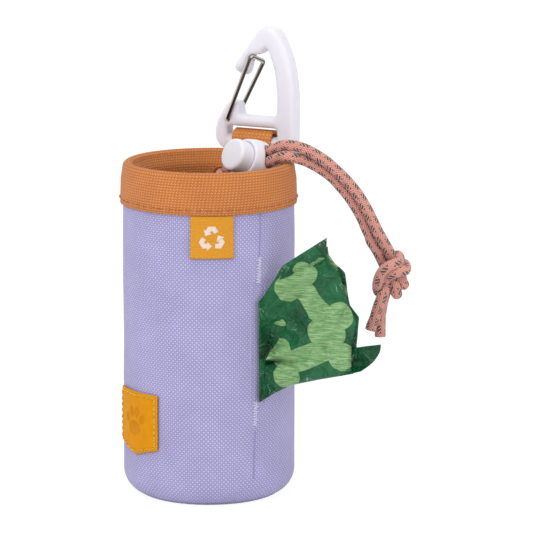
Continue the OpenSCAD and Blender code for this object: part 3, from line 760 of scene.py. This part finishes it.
cornerLine = arcPoints(pouch["radius"] - 0.45 - pouch["corner"], pouch["corner"] + 0.1, pouch["corner"],
    -pouch["cornerTurn"], 0, 10)
tubeLine = cornerLine + denser([cornerLine[-1], (pouch["radius"] - 0.45, pouch["collarBottom"] + 1.8)], 2.0)[1:]
shell("canvasTube", tubeLine, pouch["wall"], lilacCanvas, ("outer_shell",))
liningLine = arcPoints(pouch["liningRadius"] - 0.1 - 5.85, 2.65 + 5.85 + 0.3, 5.85, -58, 0, 8)
liningLine += denser([liningLine[-1], (pouch["liningRadius"] - 0.1, pouch["collarBottom"] + 0.6)], 3.0)[1:]
shell("liningTube", liningLine, pouch["liningWall"], apricotLining, ("lining_tube",), steps=120)

collar = {"unstitched": 19.5, "webbingTurn": 150.5, "radius": 32.25, "rimMiddle": 29.5, "rimTube": 1.9,
    "stitch": 3.65}
hem, rimTube = collar["radius"] - 0.45, collar["rimTube"]
collarLine = [(hem, 107), (hem, 109.5), (31.65, 115.5)]
collarLine += arcPoints(collar["rimMiddle"], pouch["rim"] - rimTube, rimTube - 0.45, 0, 180, 14)
collarLine += [(26.35, 116.5), (26.35, 112), (29.85, 108.4)]
collarLine = denser(collarLine, 1.0)
shell("collarBand", collarLine, 0.9, apricotTape, ("collar",), steps=216, cut=False)
print("pouch walls made")


def capsOf(bm):
    return [f for f in bm.faces if len(f.verts) > 4]


def eased(bm, edges, offset, segments):  # edges rounded off
    bmesh.ops.bevel(bm, geom=edges, offset=offset, segments=segments, affect="EDGES", profile=0.5, material=-1)


def disc(name, radius, low, high, edge, material, stands):
    bm = bmesh.new()
    bmesh.ops.create_circle(bm, cap_ends=True, segments=96, radius=radius)
    bmesh.ops.translate(bm, verts=bm.verts, vec=(0, 0, low))
    pushed(bm, (0, 0, high - low))
    caps = capsOf(bm)
    eased(bm, [e for e in bm.edges if sum(f in caps for f in e.link_faces) == 1], edge, 3)
    for _ in range(4):  # rings of faces on the flat caps
        bmesh.ops.inset_region(bm, faces=capsOf(bm), thickness=radius / 5.5, use_even_offset=True)
    setUv(bm, lambda loop: loop.vert.co.xy)
    return finish(name, bm, material, "pouch", stands)


disc("basePanel", 24.5, 0.02, 1.7, 0.5, lilacCanvas, ("base_panel",))
disc("liningFloor", 26.3, 2.05, 2.65, 0.2, apricotLining, ("lining_base",))
pipingLine = arcPoints(pouch["pipingRadius"], 1.0, 0.88, 0, 360, 16)
bm = spinLine(pipingLine, 160)
spunUv(bm, pipingLine, pouch["pipingRadius"])
for vert in bm.verts:  # the binding's wrap, seen as slanting ridges
    turn = atan2(vert.co.x, -vert.co.y)
    pull = 1 + 0.0022 * sin(turn * 110)
    vert.co.x *= pull
    vert.co.y *= pull
# the binding's lighter canvas is a painted highlight
finish("basePiping", bm, lilacBindingLit, "pouch", ("base_piping",))
print("base made")


def threadAlong(bm, a, b, thick, rise, sink=0.12, parts=4, sides=6):  # one stitch, ends sunk in the cloth
    a, b = Vector(a), Vector(b)
    path = []
    for k in range(parts + 1):
        t = k / parts
        path.append(a.lerp(b, t) + Vector((0, rise * sin(pi * t) ** 0.5 - sink * (t in (0, 1)), 0)))
    tubeBetween(bm, path, thick / 2, sides)


half, tall = slit["wide"] / 2 + slit["edge"] / 2, (slit["long"] - slit["wide"]) / 2
middle = slit["foot"] + slit["long"] / 2
path = denser(arcPoints(0, middle + tall, half, 0, 180, 16) + arcPoints(0, middle - tall, half, 180, 360, 16), 1.2)
bm = bmesh.new()
tubeBetween(bm, [(x, -0.8, z) for x, z in path], 1.05, 16, squash=0.42, side=(0, 1, 0), ringed=True)
leanWork(bm, 0.4)
laid("slitBinding", bm, slit["turn"], pouch["radius"], lilacCanvas, ("slit_facing",), cloth=True)


def bartack(bm, low, high, seed):  # dense zigzag with loose fibres
    path, side, z, k = [], 1, low, 0
    while z < high:
        wide = 0.95 + 0.35 * wobble(seed, k * 0.7, 0)
        shift = 0.2 * wobble(seed, 0, k * 0.5)
        for t in (0.0, 0.25, 0.5, 0.75):
            path.append((side * wide * (1 - 2 * t) + shift, 0.1 + 0.22 * sin(pi * t) ** 0.7, z + 0.5 * t))
        side, z, k = -side, z + 0.5, k + 1
    tubeBetween(bm, path, 0.17, 6)
    for k in range(7):
        start = Vector((0.9 * wobble(seed + k, 1, 2), 0.35, low + (high - low) * (k + 0.5) / 7))
        bend = Vector((wobble(seed, k, 5), 0.25, wobble(seed, k, 9)))
        tubeBetween(bm, [start, start + bend * 1.1, start + bend * 2.3 + Vector((0, -0.15, 0.4)),
            start + bend * 3.0 + Vector((0.3, -0.3, 0.9))], [0.08, 0.07, 0.06, 0.04], 5)


bm = bmesh.new()
for low, high, seed in slit["tacks"]:
    bartack(bm, low, high, seed)
leanWork(bm)
laid("slitBartacks", bm, slit["turn"], pouch["radius"], lilacThread, ("slit_bartacks",))

bm = bmesh.new()
for low, high in slit["seams"]:
    tubeBetween(bm, [(0.06 * wobble(0, 0, k * 0.4), 0, low + (high - low) * k / 24) for k in range(25)], 0.34, 10)
for vert in bm.verts:
    vert.co.y = 0.06 + vert.co.y * 0.42
leanWork(bm)
# the seam's canvas carries painted shade along its crease
laid("sideSeam", bm, slit["turn"], pouch["radius"], lilacSeamShaded, ("side_seam",), cloth=True)

bm = bmesh.new()
covered = degrees(asin(collar["unstitched"] / 2 / collar["radius"]))  # no stitches behind the webbing
count = int(2 * pi * collar["radius"] / collar["stitch"])
for k in range(count):
    if abs(k * 360 / count - collar["webbingTurn"]) > covered:
        x = radians(k * 360 / count) * collar["radius"]
        drop = 0.12 * wobble(k * 0.8, 0, 3)
        threadAlong(bm, (x - 1.3, 0.05, 108.9 + drop), (x + 1.3, 0.05, 108.9 - drop), 0.48, 0.2)
laid("collarTopstitch", bm, 0, collar["radius"], apricotThread, ("collar_topstitch",))
print("seams and stitches made")

sign = {"reach": 5.0, "cut": 1.55, "half": 0.85, "head": 1.65}
label = {"turn": 2.0, "wide": 15.2, "top": 106.85, "foot": 91.65, "ply": 0.26}


def labelRise(z):  # the label's lower edge stands off the pouch a little
    return 0.35 * max(0.0, (label["top"] - 3 - z) / 12.2) ** 2.2


def labelTab():
    bm = gridOf(38, 66)
    half = 14.9
    for vert in bm.verts:
        q, px = vert.co.y, vert.co.x  # back ply, fold, front ply
        way = abs(q) * (half + 0.35)
        if way < 0.35:
            turn = q * (half + 0.35) / 0.35 * pi / 2
            y, z = 0.36 + 0.2 * sin(turn), label["foot"] + 0.3 - 0.2 * cos(turn)
        else:
            y, z = 0.36 + 0.2 * (1 if q > 0 else -1), label["foot"] + 0.3 + way - 0.35
        z = min(z, label["top"])
        x = px * label["wide"] / 2
        if abs(px) > 0.999:  # saw-tooth selvedge
            x += (0.24 * (1 - 2 * ((z / 0.8) % 1)) - 0.05) * (1 if px > 0 else -1) * 0.5
        y += labelRise(z) + 0.05 * wobble(x / 5, q, z / 6)
        vert.co = (x, y, z)
    piece = laid("labelTab", bm, label["turn"], pouch["radius"] + 0.1, labelSatin, ("label_tab",),
        cloth=True)
    thickened(piece, label["ply"])


def filledOutlines(outlines):  # flat shapes in the x-z plane
    curve = bpy.data.curves.new("outlines", "CURVE")
    curve.dimensions, curve.fill_mode = "2D", "BOTH"
    for points in outlines:
        spline = curve.splines.new("POLY")
        spline.points.add(len(points) - 1)
        spline.use_cyclic_u = True
        for point, spot in zip(spline.points, points):
            point.co = (spot[0], spot[1], 0, 1)
    drawn = bpy.data.objects.new("outlines", curve)
    bm = bmesh.new()
    bm.from_mesh(drawn.to_mesh())
    bmesh.ops.rotate(bm, verts=bm.verts, matrix=Matrix.Rotation(radians(90), 3, "X"))
    drawn.to_mesh_clear()
    bpy.data.objects.remove(drawn)
    bpy.data.curves.remove(curve)
    return bm


def recyclingSign():  # three bent arrows that chase each other
    outlines = []
    corners = [Vector((cos(radians(90 + 120 * k)), sin(radians(90 + 120 * k)))) * sign["reach"] for k in range(3)]
    for k in range(3):
        a, b, c = corners[k], corners[(k + 1) % 3], corners[(k + 2) % 3]
        way, turned = (b - a).normalized(), (c - b).normalized()
        line = [a.lerp(b, 0.63), b - way * sign["cut"], b + turned * sign["cut"], b.lerp(c, 0.31)]
        left, right = [], []
        for before, spot, after in zip([line[0] - way] + line, line, line[1:] + [line[-1] + turned]):
            near, far = (spot - before).normalized(), (after - spot).normalized()
            side = Vector((-near.y - far.y, near.x + far.x)).normalized() * sign["half"]
            side /= max(0.5, cos(near.angle(far) / 2))
            left.append(spot + side)
            right.append(spot - side)
        across = Vector((-turned.y, turned.x)) * sign["head"]
        head = [line[-1] + across, line[-1] + turned * sign["head"] * 1.1, line[-1] - across]
        outlines.append(left + head + right[::-1])
    bm = filledOutlines(outlines)
    bmesh.ops.subdivide_edges(bm, edges=bm.edges, cuts=3, use_grid_fill=True)
    bmesh.ops.translate(bm, verts=bm.verts, vec=(-0.1, 0, 98.7))
    for vert in bm.verts:
        vert.co.y = 0.36 + 0.2 + label["ply"] / 2 + 0.05 + labelRise(vert.co.z)
    piece = laid("labelSign", bm, label["turn"], pouch["radius"] + 0.1, labelPrint, ())
    thickened(piece, 0.05, even=False)


labelTab()
recyclingSign()
print("label made")

patch = {"turn": -56.0, "half": 11.3, "foot": 17.2, "point": 3.2, "top": 40.5, "thick": 1.2, "inset": 1.15,
    "paw": (0, 29.2)}


def patchFoot(x):
    return patch["foot"] + patch["point"] * abs(x) / patch["half"]


def leatherPatch():
    bm = gridOf(84, 88)
    pressed = bm.verts.layers.float.new("pressed")
    px, pz = patch["paw"]
    pads = [(px, pz - 2.2, 3.3, 2.6, 0), (px - 4.2, pz + 1.4, 1.25, 1.8, 24), (px - 1.5, pz + 3.6, 1.3, 2.0, 8),
        (px + 1.5, pz + 3.6, 1.3, 2.0, -8), (px + 4.2, pz + 1.4, 1.25, 1.8, -24)]
    for vert in bm.verts:
        t = (vert.co.y + 1) / 2
        x = vert.co.x * patch["half"]
        low = patchFoot(x)
        z = low + t * (patch["top"] - low)
        edge = min(patch["half"] - abs(x), patch["top"] - z, (z - low) * 0.962)
        y = patch["thick"] - 0.42 * (1 - min(1, edge / 0.75)) ** 2
        groove = exp(-(((edge - patch["inset"]) / 0.42) ** 2))
        y -= 0.16 * groove
        mark = 0.0
        for cx, cz, rx, rz, turn in pads:
            c, s = cos(radians(turn)), sin(radians(turn))
            ax, az = ((x - cx) * c + (z - cz) * s) / rx, (-(x - cx) * s + (z - cz) * c) / rz
            mark = max(mark, min(1, max(0, (1.1 - hypot(ax, az)) / 0.22)))
        y -= 0.26 * mark
        y += 0.06 * wobble(x / 3, z / 3, 2)
        vert[pressed] = 0.5 * mark * (1 if mark < 0.9 else 0.5) + 0.16 * groove
        vert.co = (x, y, z)
    piece = laid("leatherPatch", bm, patch["turn"], pouch["radius"] + 0.1, tannedLeather, ("leather_patch",),
        cloth=True)
    thickened(piece, 1.05, offset=-1)


def patchStitching():
    inset = patch["inset"]
    slope = patch["point"] / patch["half"]
    w, low = patch["half"] - inset, inset * hypot(1, slope)
    corners = [(-w, patch["top"] - inset), (w, patch["top"] - inset), (w, patchFoot(w) + low),
        (0, patch["foot"] + low), (-w, patchFoot(w) + low)]
    bm = bmesh.new()
    for a, b in zip(corners, corners[1:] + corners[:1]):
        a, b = Vector((a[0], patch["thick"] - 0.1, a[1])), Vector((b[0], patch["thick"] - 0.1, b[1]))
        parts = round((b - a).length / 2.35)
        for k in range(parts):
            lean = Vector((0, 0, 0.1 * wobble(k, a.x, a.z)))
            threadAlong(bm, a.lerp(b, (k + 0.14) / parts) + lean, a.lerp(b, (k + 0.86) / parts) - lean, 0.62, 0.2,
                sink=0.25)
    laid("patchStitching", bm, patch["turn"], pouch["radius"] + 0.1, yellowThread, ("patch_stitches",))


leatherPatch()
patchStitching()
print("patch made")

clip = {"bar": Vector((17.481, 30.898, 123.4)), "along": Vector((0.87036, -0.49242, 0)),
    "out": Vector((0.49242, 0.87036, 0))}


def atClip(bm):  # across the bar, away from the pouch, up: to the pouch's own axes
    for vert in bm.verts:
        vert.co = clip["bar"] + clip["along"] * vert.co.x + clip["out"] * vert.co.y + Vector((0, 0, vert.co.z))


def webbingLoop():
    line = [(-2.35, -14.8), (-2.35, -8.8), (-3.25, -4)] + arcPoints(0, 1.4, 3.4, 176, 4, 16)
    line += [(3.0, -3.5), (0.55, -7.5), (-1.05, -9.8), (-1.05, -14.8)]
    path = smoothPath([(0, y, z) for y, z in line], 0.5)
    bm = gridOf(28, len(path) - 1)
    setUv(bm, lambda loop: (loop.vert.co.x * 8, (loop.vert.co.y + 1) / 2 * (len(path) - 1) * 0.5))
    for vert in bm.verts:
        k = round((vert.co.y + 1) / 2 * (len(path) - 1))
        spot = path[k]
        waist = 1 - 0.012 * sin(k * 0.8)
        vert.co = (vert.co.x * 7.95 * waist, spot.y, spot.z)
    atClip(bm)
    piece = finish("webbingLoop", bm, apricotWebbing, "pouch", ("webbing_loop",))
    thickened(piece, 1.1)
    bm = bmesh.new()
    for x in (-5.0, 5.0):
        path = []
        for k in range(16):
            path += [(x + (0.8 if k % 2 else -0.8) * (1 - 2 * t), -2.35 + 1.5 * 1.2 + 0.15 + 0.32 * sin(pi * t),
                -14.1 + k * 0.27 + 0.27 * t) for t in (0, 0.33, 0.67)]
        tubeBetween(bm, path, 0.17, 6)
    atClip(bm)
    finish("webbingBartacks", bm, apricotThread, "pouch", ("webbing_bartacks",))


def nodeShape(node):  # a frame node's own solid, in millimetres
    bm = bmesh.new()
    bm.from_mesh(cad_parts[node].data)
    bmesh.ops.remove_doubles(bm, verts=bm.verts, dist=1e-6)
    bmesh.ops.scale(bm, vec=(1000, 1000, 1000), verts=bm.verts)
    return bm


# the node's own solid with its edges moulded round
def softened(node, name, body, material, voxel, passes, swellBy=0.0, extra=None):
    bm = nodeShape(node)
    for layer in list(bm.loops.layers.uv.values()):
        bm.loops.layers.uv.remove(layer)
    if extra:
        joinInto(bm, extra)
    piece = finish(name, bm, material, body, (node,))
    piece.data.materials.clear()
    piece.data.materials.append(material)
    modify(piece, "REMESH", mode="VOXEL", voxel_size=voxel * mm, use_smooth_shade=True)
    modify(piece, "SMOOTH", factor=0.5, iterations=passes)
    if swellBy:
        modify(piece, "DISPLACE", strength=swellBy * mm, mid_level=0.0)
    settle(piece)
    piece.data.shade_smooth()
    return piece


def rounded(points, radius, parts=6):  # the path with its corners bent to a radius
    pts = [Vector(p) for p in points]
    out = [pts[0]]
    for a, b, c in zip(pts, pts[1:], pts[2:]):
        near, far = (a - b).normalized(), (c - b).normalized()
        half = near.angle(far) / 2
        back = min(radius / tan(half), 0.48 * (a - b).length, 0.48 * (c - b).length)
        start, end = b + near * back, b + far * back
        for k in range(parts + 1):
            t = k / parts
            out.append((1 - t) ** 2 * start + 2 * t * (1 - t) * b + t * t * end)
    out.append(pts[-1])
    return out


def wireGate():
    bm = bmesh.new()
    path = rounded([(-10.2, -0.6, 8.4), (-10.2, -4.2, 8.4), (0.2, -4.2, 33.1), (1.2, 4.2, 30.2), (-10.2, 4.2, 8.4),
        (-10.2, 0.6, 8.4)], 1.7)
    tubeBetween(bm, path, 0.82, 16)
    eased(bm, [e for f in capsOf(bm) for e in f.edges], 0.2, 2)
    atClip(bm)
    finish("wireGate", bm, gateSteel, "gate", ("wire_gate",))


webbingLoop()
nose = filledOutlines([[(2.9, 39.6), (4.4, 38.4), (-1.5, 32.5), (-2.2, 31.4), (-3.0, 29.0), (-4.2, 27.6),
    (-5.6, 27.2), (-6.9, 27.8), (-7.2, 28.9), (-6.0, 30.6), (-2.6, 33.9), (0.5, 37.2)]])
bmesh.ops.translate(nose, verts=nose.verts, vec=(0, 2.9, 0))
pushed(nose, (0, -5.8, 0))
bmesh.ops.recalc_face_normals(nose, faces=nose.faces)
atClip(nose)
softened("carabiner_body", "carabinerBody", "carabiner", mouldedPlastic, 0.42, 70, 0.5, nose)
wireGate()
print("clip made")

softened("cord_lock_barrel", "cordLockBarrel", "cord_lock", mouldedPlastic, 0.28, 9, 0.05)
softened("cord_lock_button", "cordLockButton", "button", mouldedPlastic, 0.28, 8, 0.05)


def cordLockSpring():  # the spring, on a mesh of its own; the real one shortens as the button goes in
    piece = finish("cordLockSpring", nodeShape("cord_lock_spring"), springSteel, "cord_lock", ("cord_lock_spring",))
    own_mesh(piece)


cordLockSpring()

bm = bmesh.new()
for turn in (157, 170):
    part = bmesh.new()
    bmesh.ops.create_circle(part, segments=10, radius=0.3, matrix=Matrix.Translation((2.5, 0, 0)))
    bmesh.ops.spin(part, geom=list(part.verts) + list(part.edges), cent=(0, 0, 0), axis=(0, 1, 0), angle=2 * pi,
        steps=48, use_merge=True)
    for vert in part.verts:  # the thread's turns round the hole
        around = atan2(vert.co.z, vert.co.x)
        vert.co *= 1 + 0.02 * sin(around * 24)
        vert.co = stoodOut(vert.co, turn, 25.45, cords["channel"][1])
    joinInto(bm, part)
finish("channelEyelets", bm, apricotThread, "pouch", ("channel_eyelets",))
print("cord lock made")

film = {
    "offset": 17.9,  # from the roll's axis to the film's plane
    "reach": 25.55,  # from the foot of that offset to the slit
    "clear": 32.9,  # the film stays outside this radius
    "along": Vector((0.93795, -0.34677, 0)),
    "back": Vector((0.34677, 0.93795, 0)),
    "bottom": [(0, 39), (0.4, 38.2), (6.2, 42.1), (12.6, 45.6), (24, 48.7), (35.5, 51.4)],
    "top": [(0, 74.3), (4, 80.4), (9, 88.6), (20.3, 96.2), (25.2, 99.5)],
    "right": [(35.5, 51.4), (35.2, 61.3), (36.9, 71.4), (33.8, 75.7), (30.4, 87.2), (26.8, 90.5), (25.3, 93.4),
        (25.2, 99.5)],
    "pinch": (0.0, 52.8),
    # heading, height, width and reach of each fold that runs out of the pinch
    "folds": [(27, 4.6, 8.0, 24), (6, -2.6, 5, 14), (62, -6.0, 17, 11), (90, 1.4, 7, 22), (-24, 1.4, 9, 16)],
    # from, to, height and width of each crease
    "creases": [((2, 72), (15, 80), 0.9, 1.3), ((8, 84), (24, 92), -1.3, 1.7), ((15, 65), (20, 71), 1.4, 1.5),
        ((12, 47), (20, 54), 1.2, 1.2), ((25, 60), (33, 76), -1.0, 1.8)],
}


def bagRoll():
    line = [(6.15, 2.95), (11.5, 2.95), (16.5, 2.95)] + denser([(16.95, 3.4), (16.95, 60.5)], 3)
    line += [(16.5, 60.95), (11.5, 60.95), (6.15, 60.95), (6.15, 2.95)]
    bm = spinLine(line, 128)
    for vert in bm.verts:
        reach = hypot(vert.co.x, vert.co.y)
        turn = degrees(atan2(vert.co.x, -vert.co.y))
        if reach > 12:  # the outer wrap steps down where the next bag leaves it
            loose = ((turn + 20.3) % 360) / 360
            grow = 1 - (0.5 * loose + 0.15 * abs(wobble(turn / 20, vert.co.z / 12, 1))) / reach
            vert.co.x *= grow
            vert.co.y *= grow
        elif reach > 7 and vert.co.z > 30:
            vert.co.z -= 0.5 + 0.3 * wobble(turn / 30, 2, 0)
    finish("bagRoll", bm, rolledFilm, "roll", ("bag_roll",))


def walk(points, t):  # a spot on a line of points, t from 0 to 1 by length
    spans = [dist(a, b) for a, b in zip(points, points[1:])]
    left = t * sum(spans)
    for a, b, span in zip(points, points[1:], spans):
        if left <= span or b is points[-1]:
            k = left / span
            return Vector((a[0] + (b[0] - a[0]) * k, a[1] + (b[1] - a[1]) * k))
        left -= span


def step(x):
    x = min(1, max(0, x))
    return x * x * (3 - 2 * x)


def filmSpot(s, z, rise):  # s out of the slit, z up, rise towards the front
    return film["along"] * (film["reach"] + s) - film["back"] * (film["offset"] + rise) + Vector((0, 0, z))


def nearLine(s, z, a, b):  # how far a spot lies from a short line
    way = (b[0] - a[0], b[1] - a[1])
    t = ((s - a[0]) * way[0] + (z - a[1]) * way[1]) / (way[0] ** 2 + way[1] ** 2)
    t = min(1, max(0, t))
    return hypot(s - a[0] - t * way[0], z - a[1] - t * way[1])


def creased(s, z):  # folds that run out of the pinch, and the film's own crumple
    px, pz = film["pinch"]
    reach, heading = hypot(s - px, z - pz), degrees(atan2(z - pz, s - px))
    rise = 0.0
    for way, high, wide, far in film["folds"]:
        rise += high * exp(-(((heading - way) / wide) ** 2)) * exp(-reach / far)
    rise *= step(reach / 4)
    rise += sum(high * exp(-((nearLine(s, z, a, b) / wide) ** 2)) for a, b, high, wide in film["creases"])
    ridge = 0.5 - abs(wobble(s / 9, z / 9, 4))
    fine = 0.5 - abs(wobble(s / 3.6, z / 3.6, 8))
    return rise + 0.9 * ridge * step(s / 10) + 0.32 * fine * step(s / 5)


def paintedFoldShade(s, z):  # painted shade, 0 to 1: in the fold beside the slit, behind the curled tip, inside the open tail, along the rolled lower edge by the slit and in the hollows of the creases
    px, pz = film["pinch"]
    reach, heading = hypot(s - px, z - pz), degrees(atan2(z - pz, s - px))
    dark = exp(-(((heading - 63) / 17) ** 2)) * exp(-((reach / 10) ** 2)) * step(reach / 2.5)
    tip = step((s - 20.2 + (z - 96.8) * 0.6) / 1.2) * step((z - 91.5) / 3) * 0.6
    tip = max(tip, step((s - 33.5) / 2) * (0.25 + 0.6 * abs(wobble(s / 14, z / 1.3, 3))) * (z < 64))
    under = step((44.5 + 0.28 * s - z) / 4) * step(1 - s / 9) * 0.5
    sunk = sum(creased(s + a, z + b) for a, b in ((2, 0), (-2, 0), (0, 2), (0, -2))) / 4 - creased(s, z)
    return min(0.92, max(dark, tip, under, 0.75 * min(1.0, max(0.0, (sunk - 0.12) / 1.3))))


def gridSheet(bm, across, up, place, uvShift=(0, 0)):  # a sheet whose grid is laid by place(u, w) -> s, z, rise
    part = gridOf(across, up)
    paintedShade = part.verts.layers.float.new("paintedShade")
    flat = {}
    for vert in part.verts:
        s, z, rise, us, uz = place((vert.co.x + 1) / 2, (vert.co.y + 1) / 2)
        flat[vert.index] = (us + uvShift[0], uz + uvShift[1])
        # painted shade kept on each corner
        vert[paintedShade] = paintedFoldShade(s, z)
        vert.co = filmSpot(s, z, rise)
    setUv(part, lambda loop: flat[loop.vert.index])
    bmesh.ops.recalc_face_normals(part, faces=part.faces)
    joinInto(bm, part)


def coons(u, w):
    low, high = walk(film["bottom"], u), walk(film["top"], u)
    left, right = Vector((0, 39 + 35.3 * w)), walk(film["right"], w)
    a, b, c, d = Vector((0, 39)), Vector((35.5, 51.4)), Vector((0, 74.3)), Vector((25.2, 99.5))
    corners = (1 - u) * (1 - w) * a + u * (1 - w) * b + (1 - u) * w * c + u * w * d
    return (1 - w) * low + w * high + (1 - u) * left + u * right - corners


def frontSheet(u, w):  # up the back, round the rolled lower edge and up the front
    low, high = walk(film["bottom"], u), walk(film["top"], u)
    tall = max(20.0, (high - low).length)
    roll = 0.35 + 1.45 * step(low.x / 9) * (1 - 0.3 * step((low.x - 28) / 8))
    out = roll - 0.45
    if w < 0.14:  # back
        t = roll + (0.14 - w) / 0.14 * (3 + 7 * step(low.x / 20))
        rise, flat = -0.5, -t - 1.5 * roll
    elif w < 0.28:  # round the edge
        turn = (w - 0.14) / 0.14 * pi - pi / 2
        t, rise = roll - roll * cos(turn), out + roll * sin(turn)
        flat = (turn / pi - 0.5) * pi * roll + roll
    else:
        t = roll + (w - 0.28) / 0.72 * (tall - roll)
        rise = out + roll
        flat = t
    spot = coons(u, t / tall)
    if w >= 0.28:
        far = step((t - roll) / 16)
        rise = rise * (1 - far) + 0.35 * far + creased(spot.x, spot.y) * step((t - roll) / 4)
        rise -= 0.9 * step((spot.y - 92.5) / 5) * step((spot.x - 15) / 6)
    rise *= 0.25 + 0.75 * step(spot.x / 4)
    wall = sqrt(max(0.0, film["clear"] ** 2 - (film["reach"] + spot.x) ** 2)) - film["offset"]
    rise = max(rise, wall if spot.x > 0.6 else -0.5)
    return spot.x, spot.y, rise, spot.x, low.y + flat


def backSheet(u, w):  # the bag's other layers, which show past the right edge
    spot = coons(0.15 + 0.85 * u, 0.10 + 0.84 * w)
    proud = 1.1 * step(u * 4 - 3) * (0.6 + 0.6 * sin(w * 9 + 1))
    rise = -0.75 + 0.35 * wobble(spot.x / 6, spot.y / 5, 2) + 0.5 * step(u * 5 - 4) * sin(w * 14)
    return spot.x + proud, spot.y, rise, spot.x + proud, spot.y


def tailSheet(u, w):  # the open end of the rolled edge
    low, high = Vector((31 + 8 * u, 50.4 + 2.5 * u)), Vector((33.5 + 12.1 * u, 60.2 + 2.4 * u))
    bend = sin(pi * w)
    spot = low.lerp(high, w) + Vector((1.5, -1.2)) * bend * u * 0.7
    rise = 2.2 * (1 - w) ** 2 - 1.8 * bend + 0.5 * sin((w * 5 + u) * 2.2) * u
    rise += 0.2 * wobble(spot.x / 3, spot.y / 3, 6)
    return spot.x, spot.y, rise, spot.x, spot.y


def tongue(u, w):  # flat from the roll to the slit
    x = 1 + 24.6 * u
    low = 22 + (39 - 22) * step(u * 3.2)  # clear of the slit's lower end when the bag is drawn out
    high = 58 + (74.3 - 58) * step(u * 1.15)
    z = low + (high - low) * w
    rise = -0.1 + 0.25 * wobble(x / 8, z / 5, 3) * step(u * 2)
    return x - film["reach"], z, rise, x - film["reach"], z


def pulledFilm():
    bm = bmesh.new()
    gridSheet(bm, 90, 150, frontSheet)
    gridSheet(bm, 50, 60, backSheet, (4, -22))
    gridSheet(bm, 24, 24, tailSheet, (0, -45))
    gridSheet(bm, 30, 40, tongue)
    piece = finish("pulledFilm", bm, bagFilm, "bag", ("pulled_bag",), outwards=False)
    thickened(piece, 0.1, even=False)


bagRoll()
pulledFilm()
print("bags made")

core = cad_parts["roll_core"]
core.data.materials.clear()
core.data.materials.append(kraftBoard)
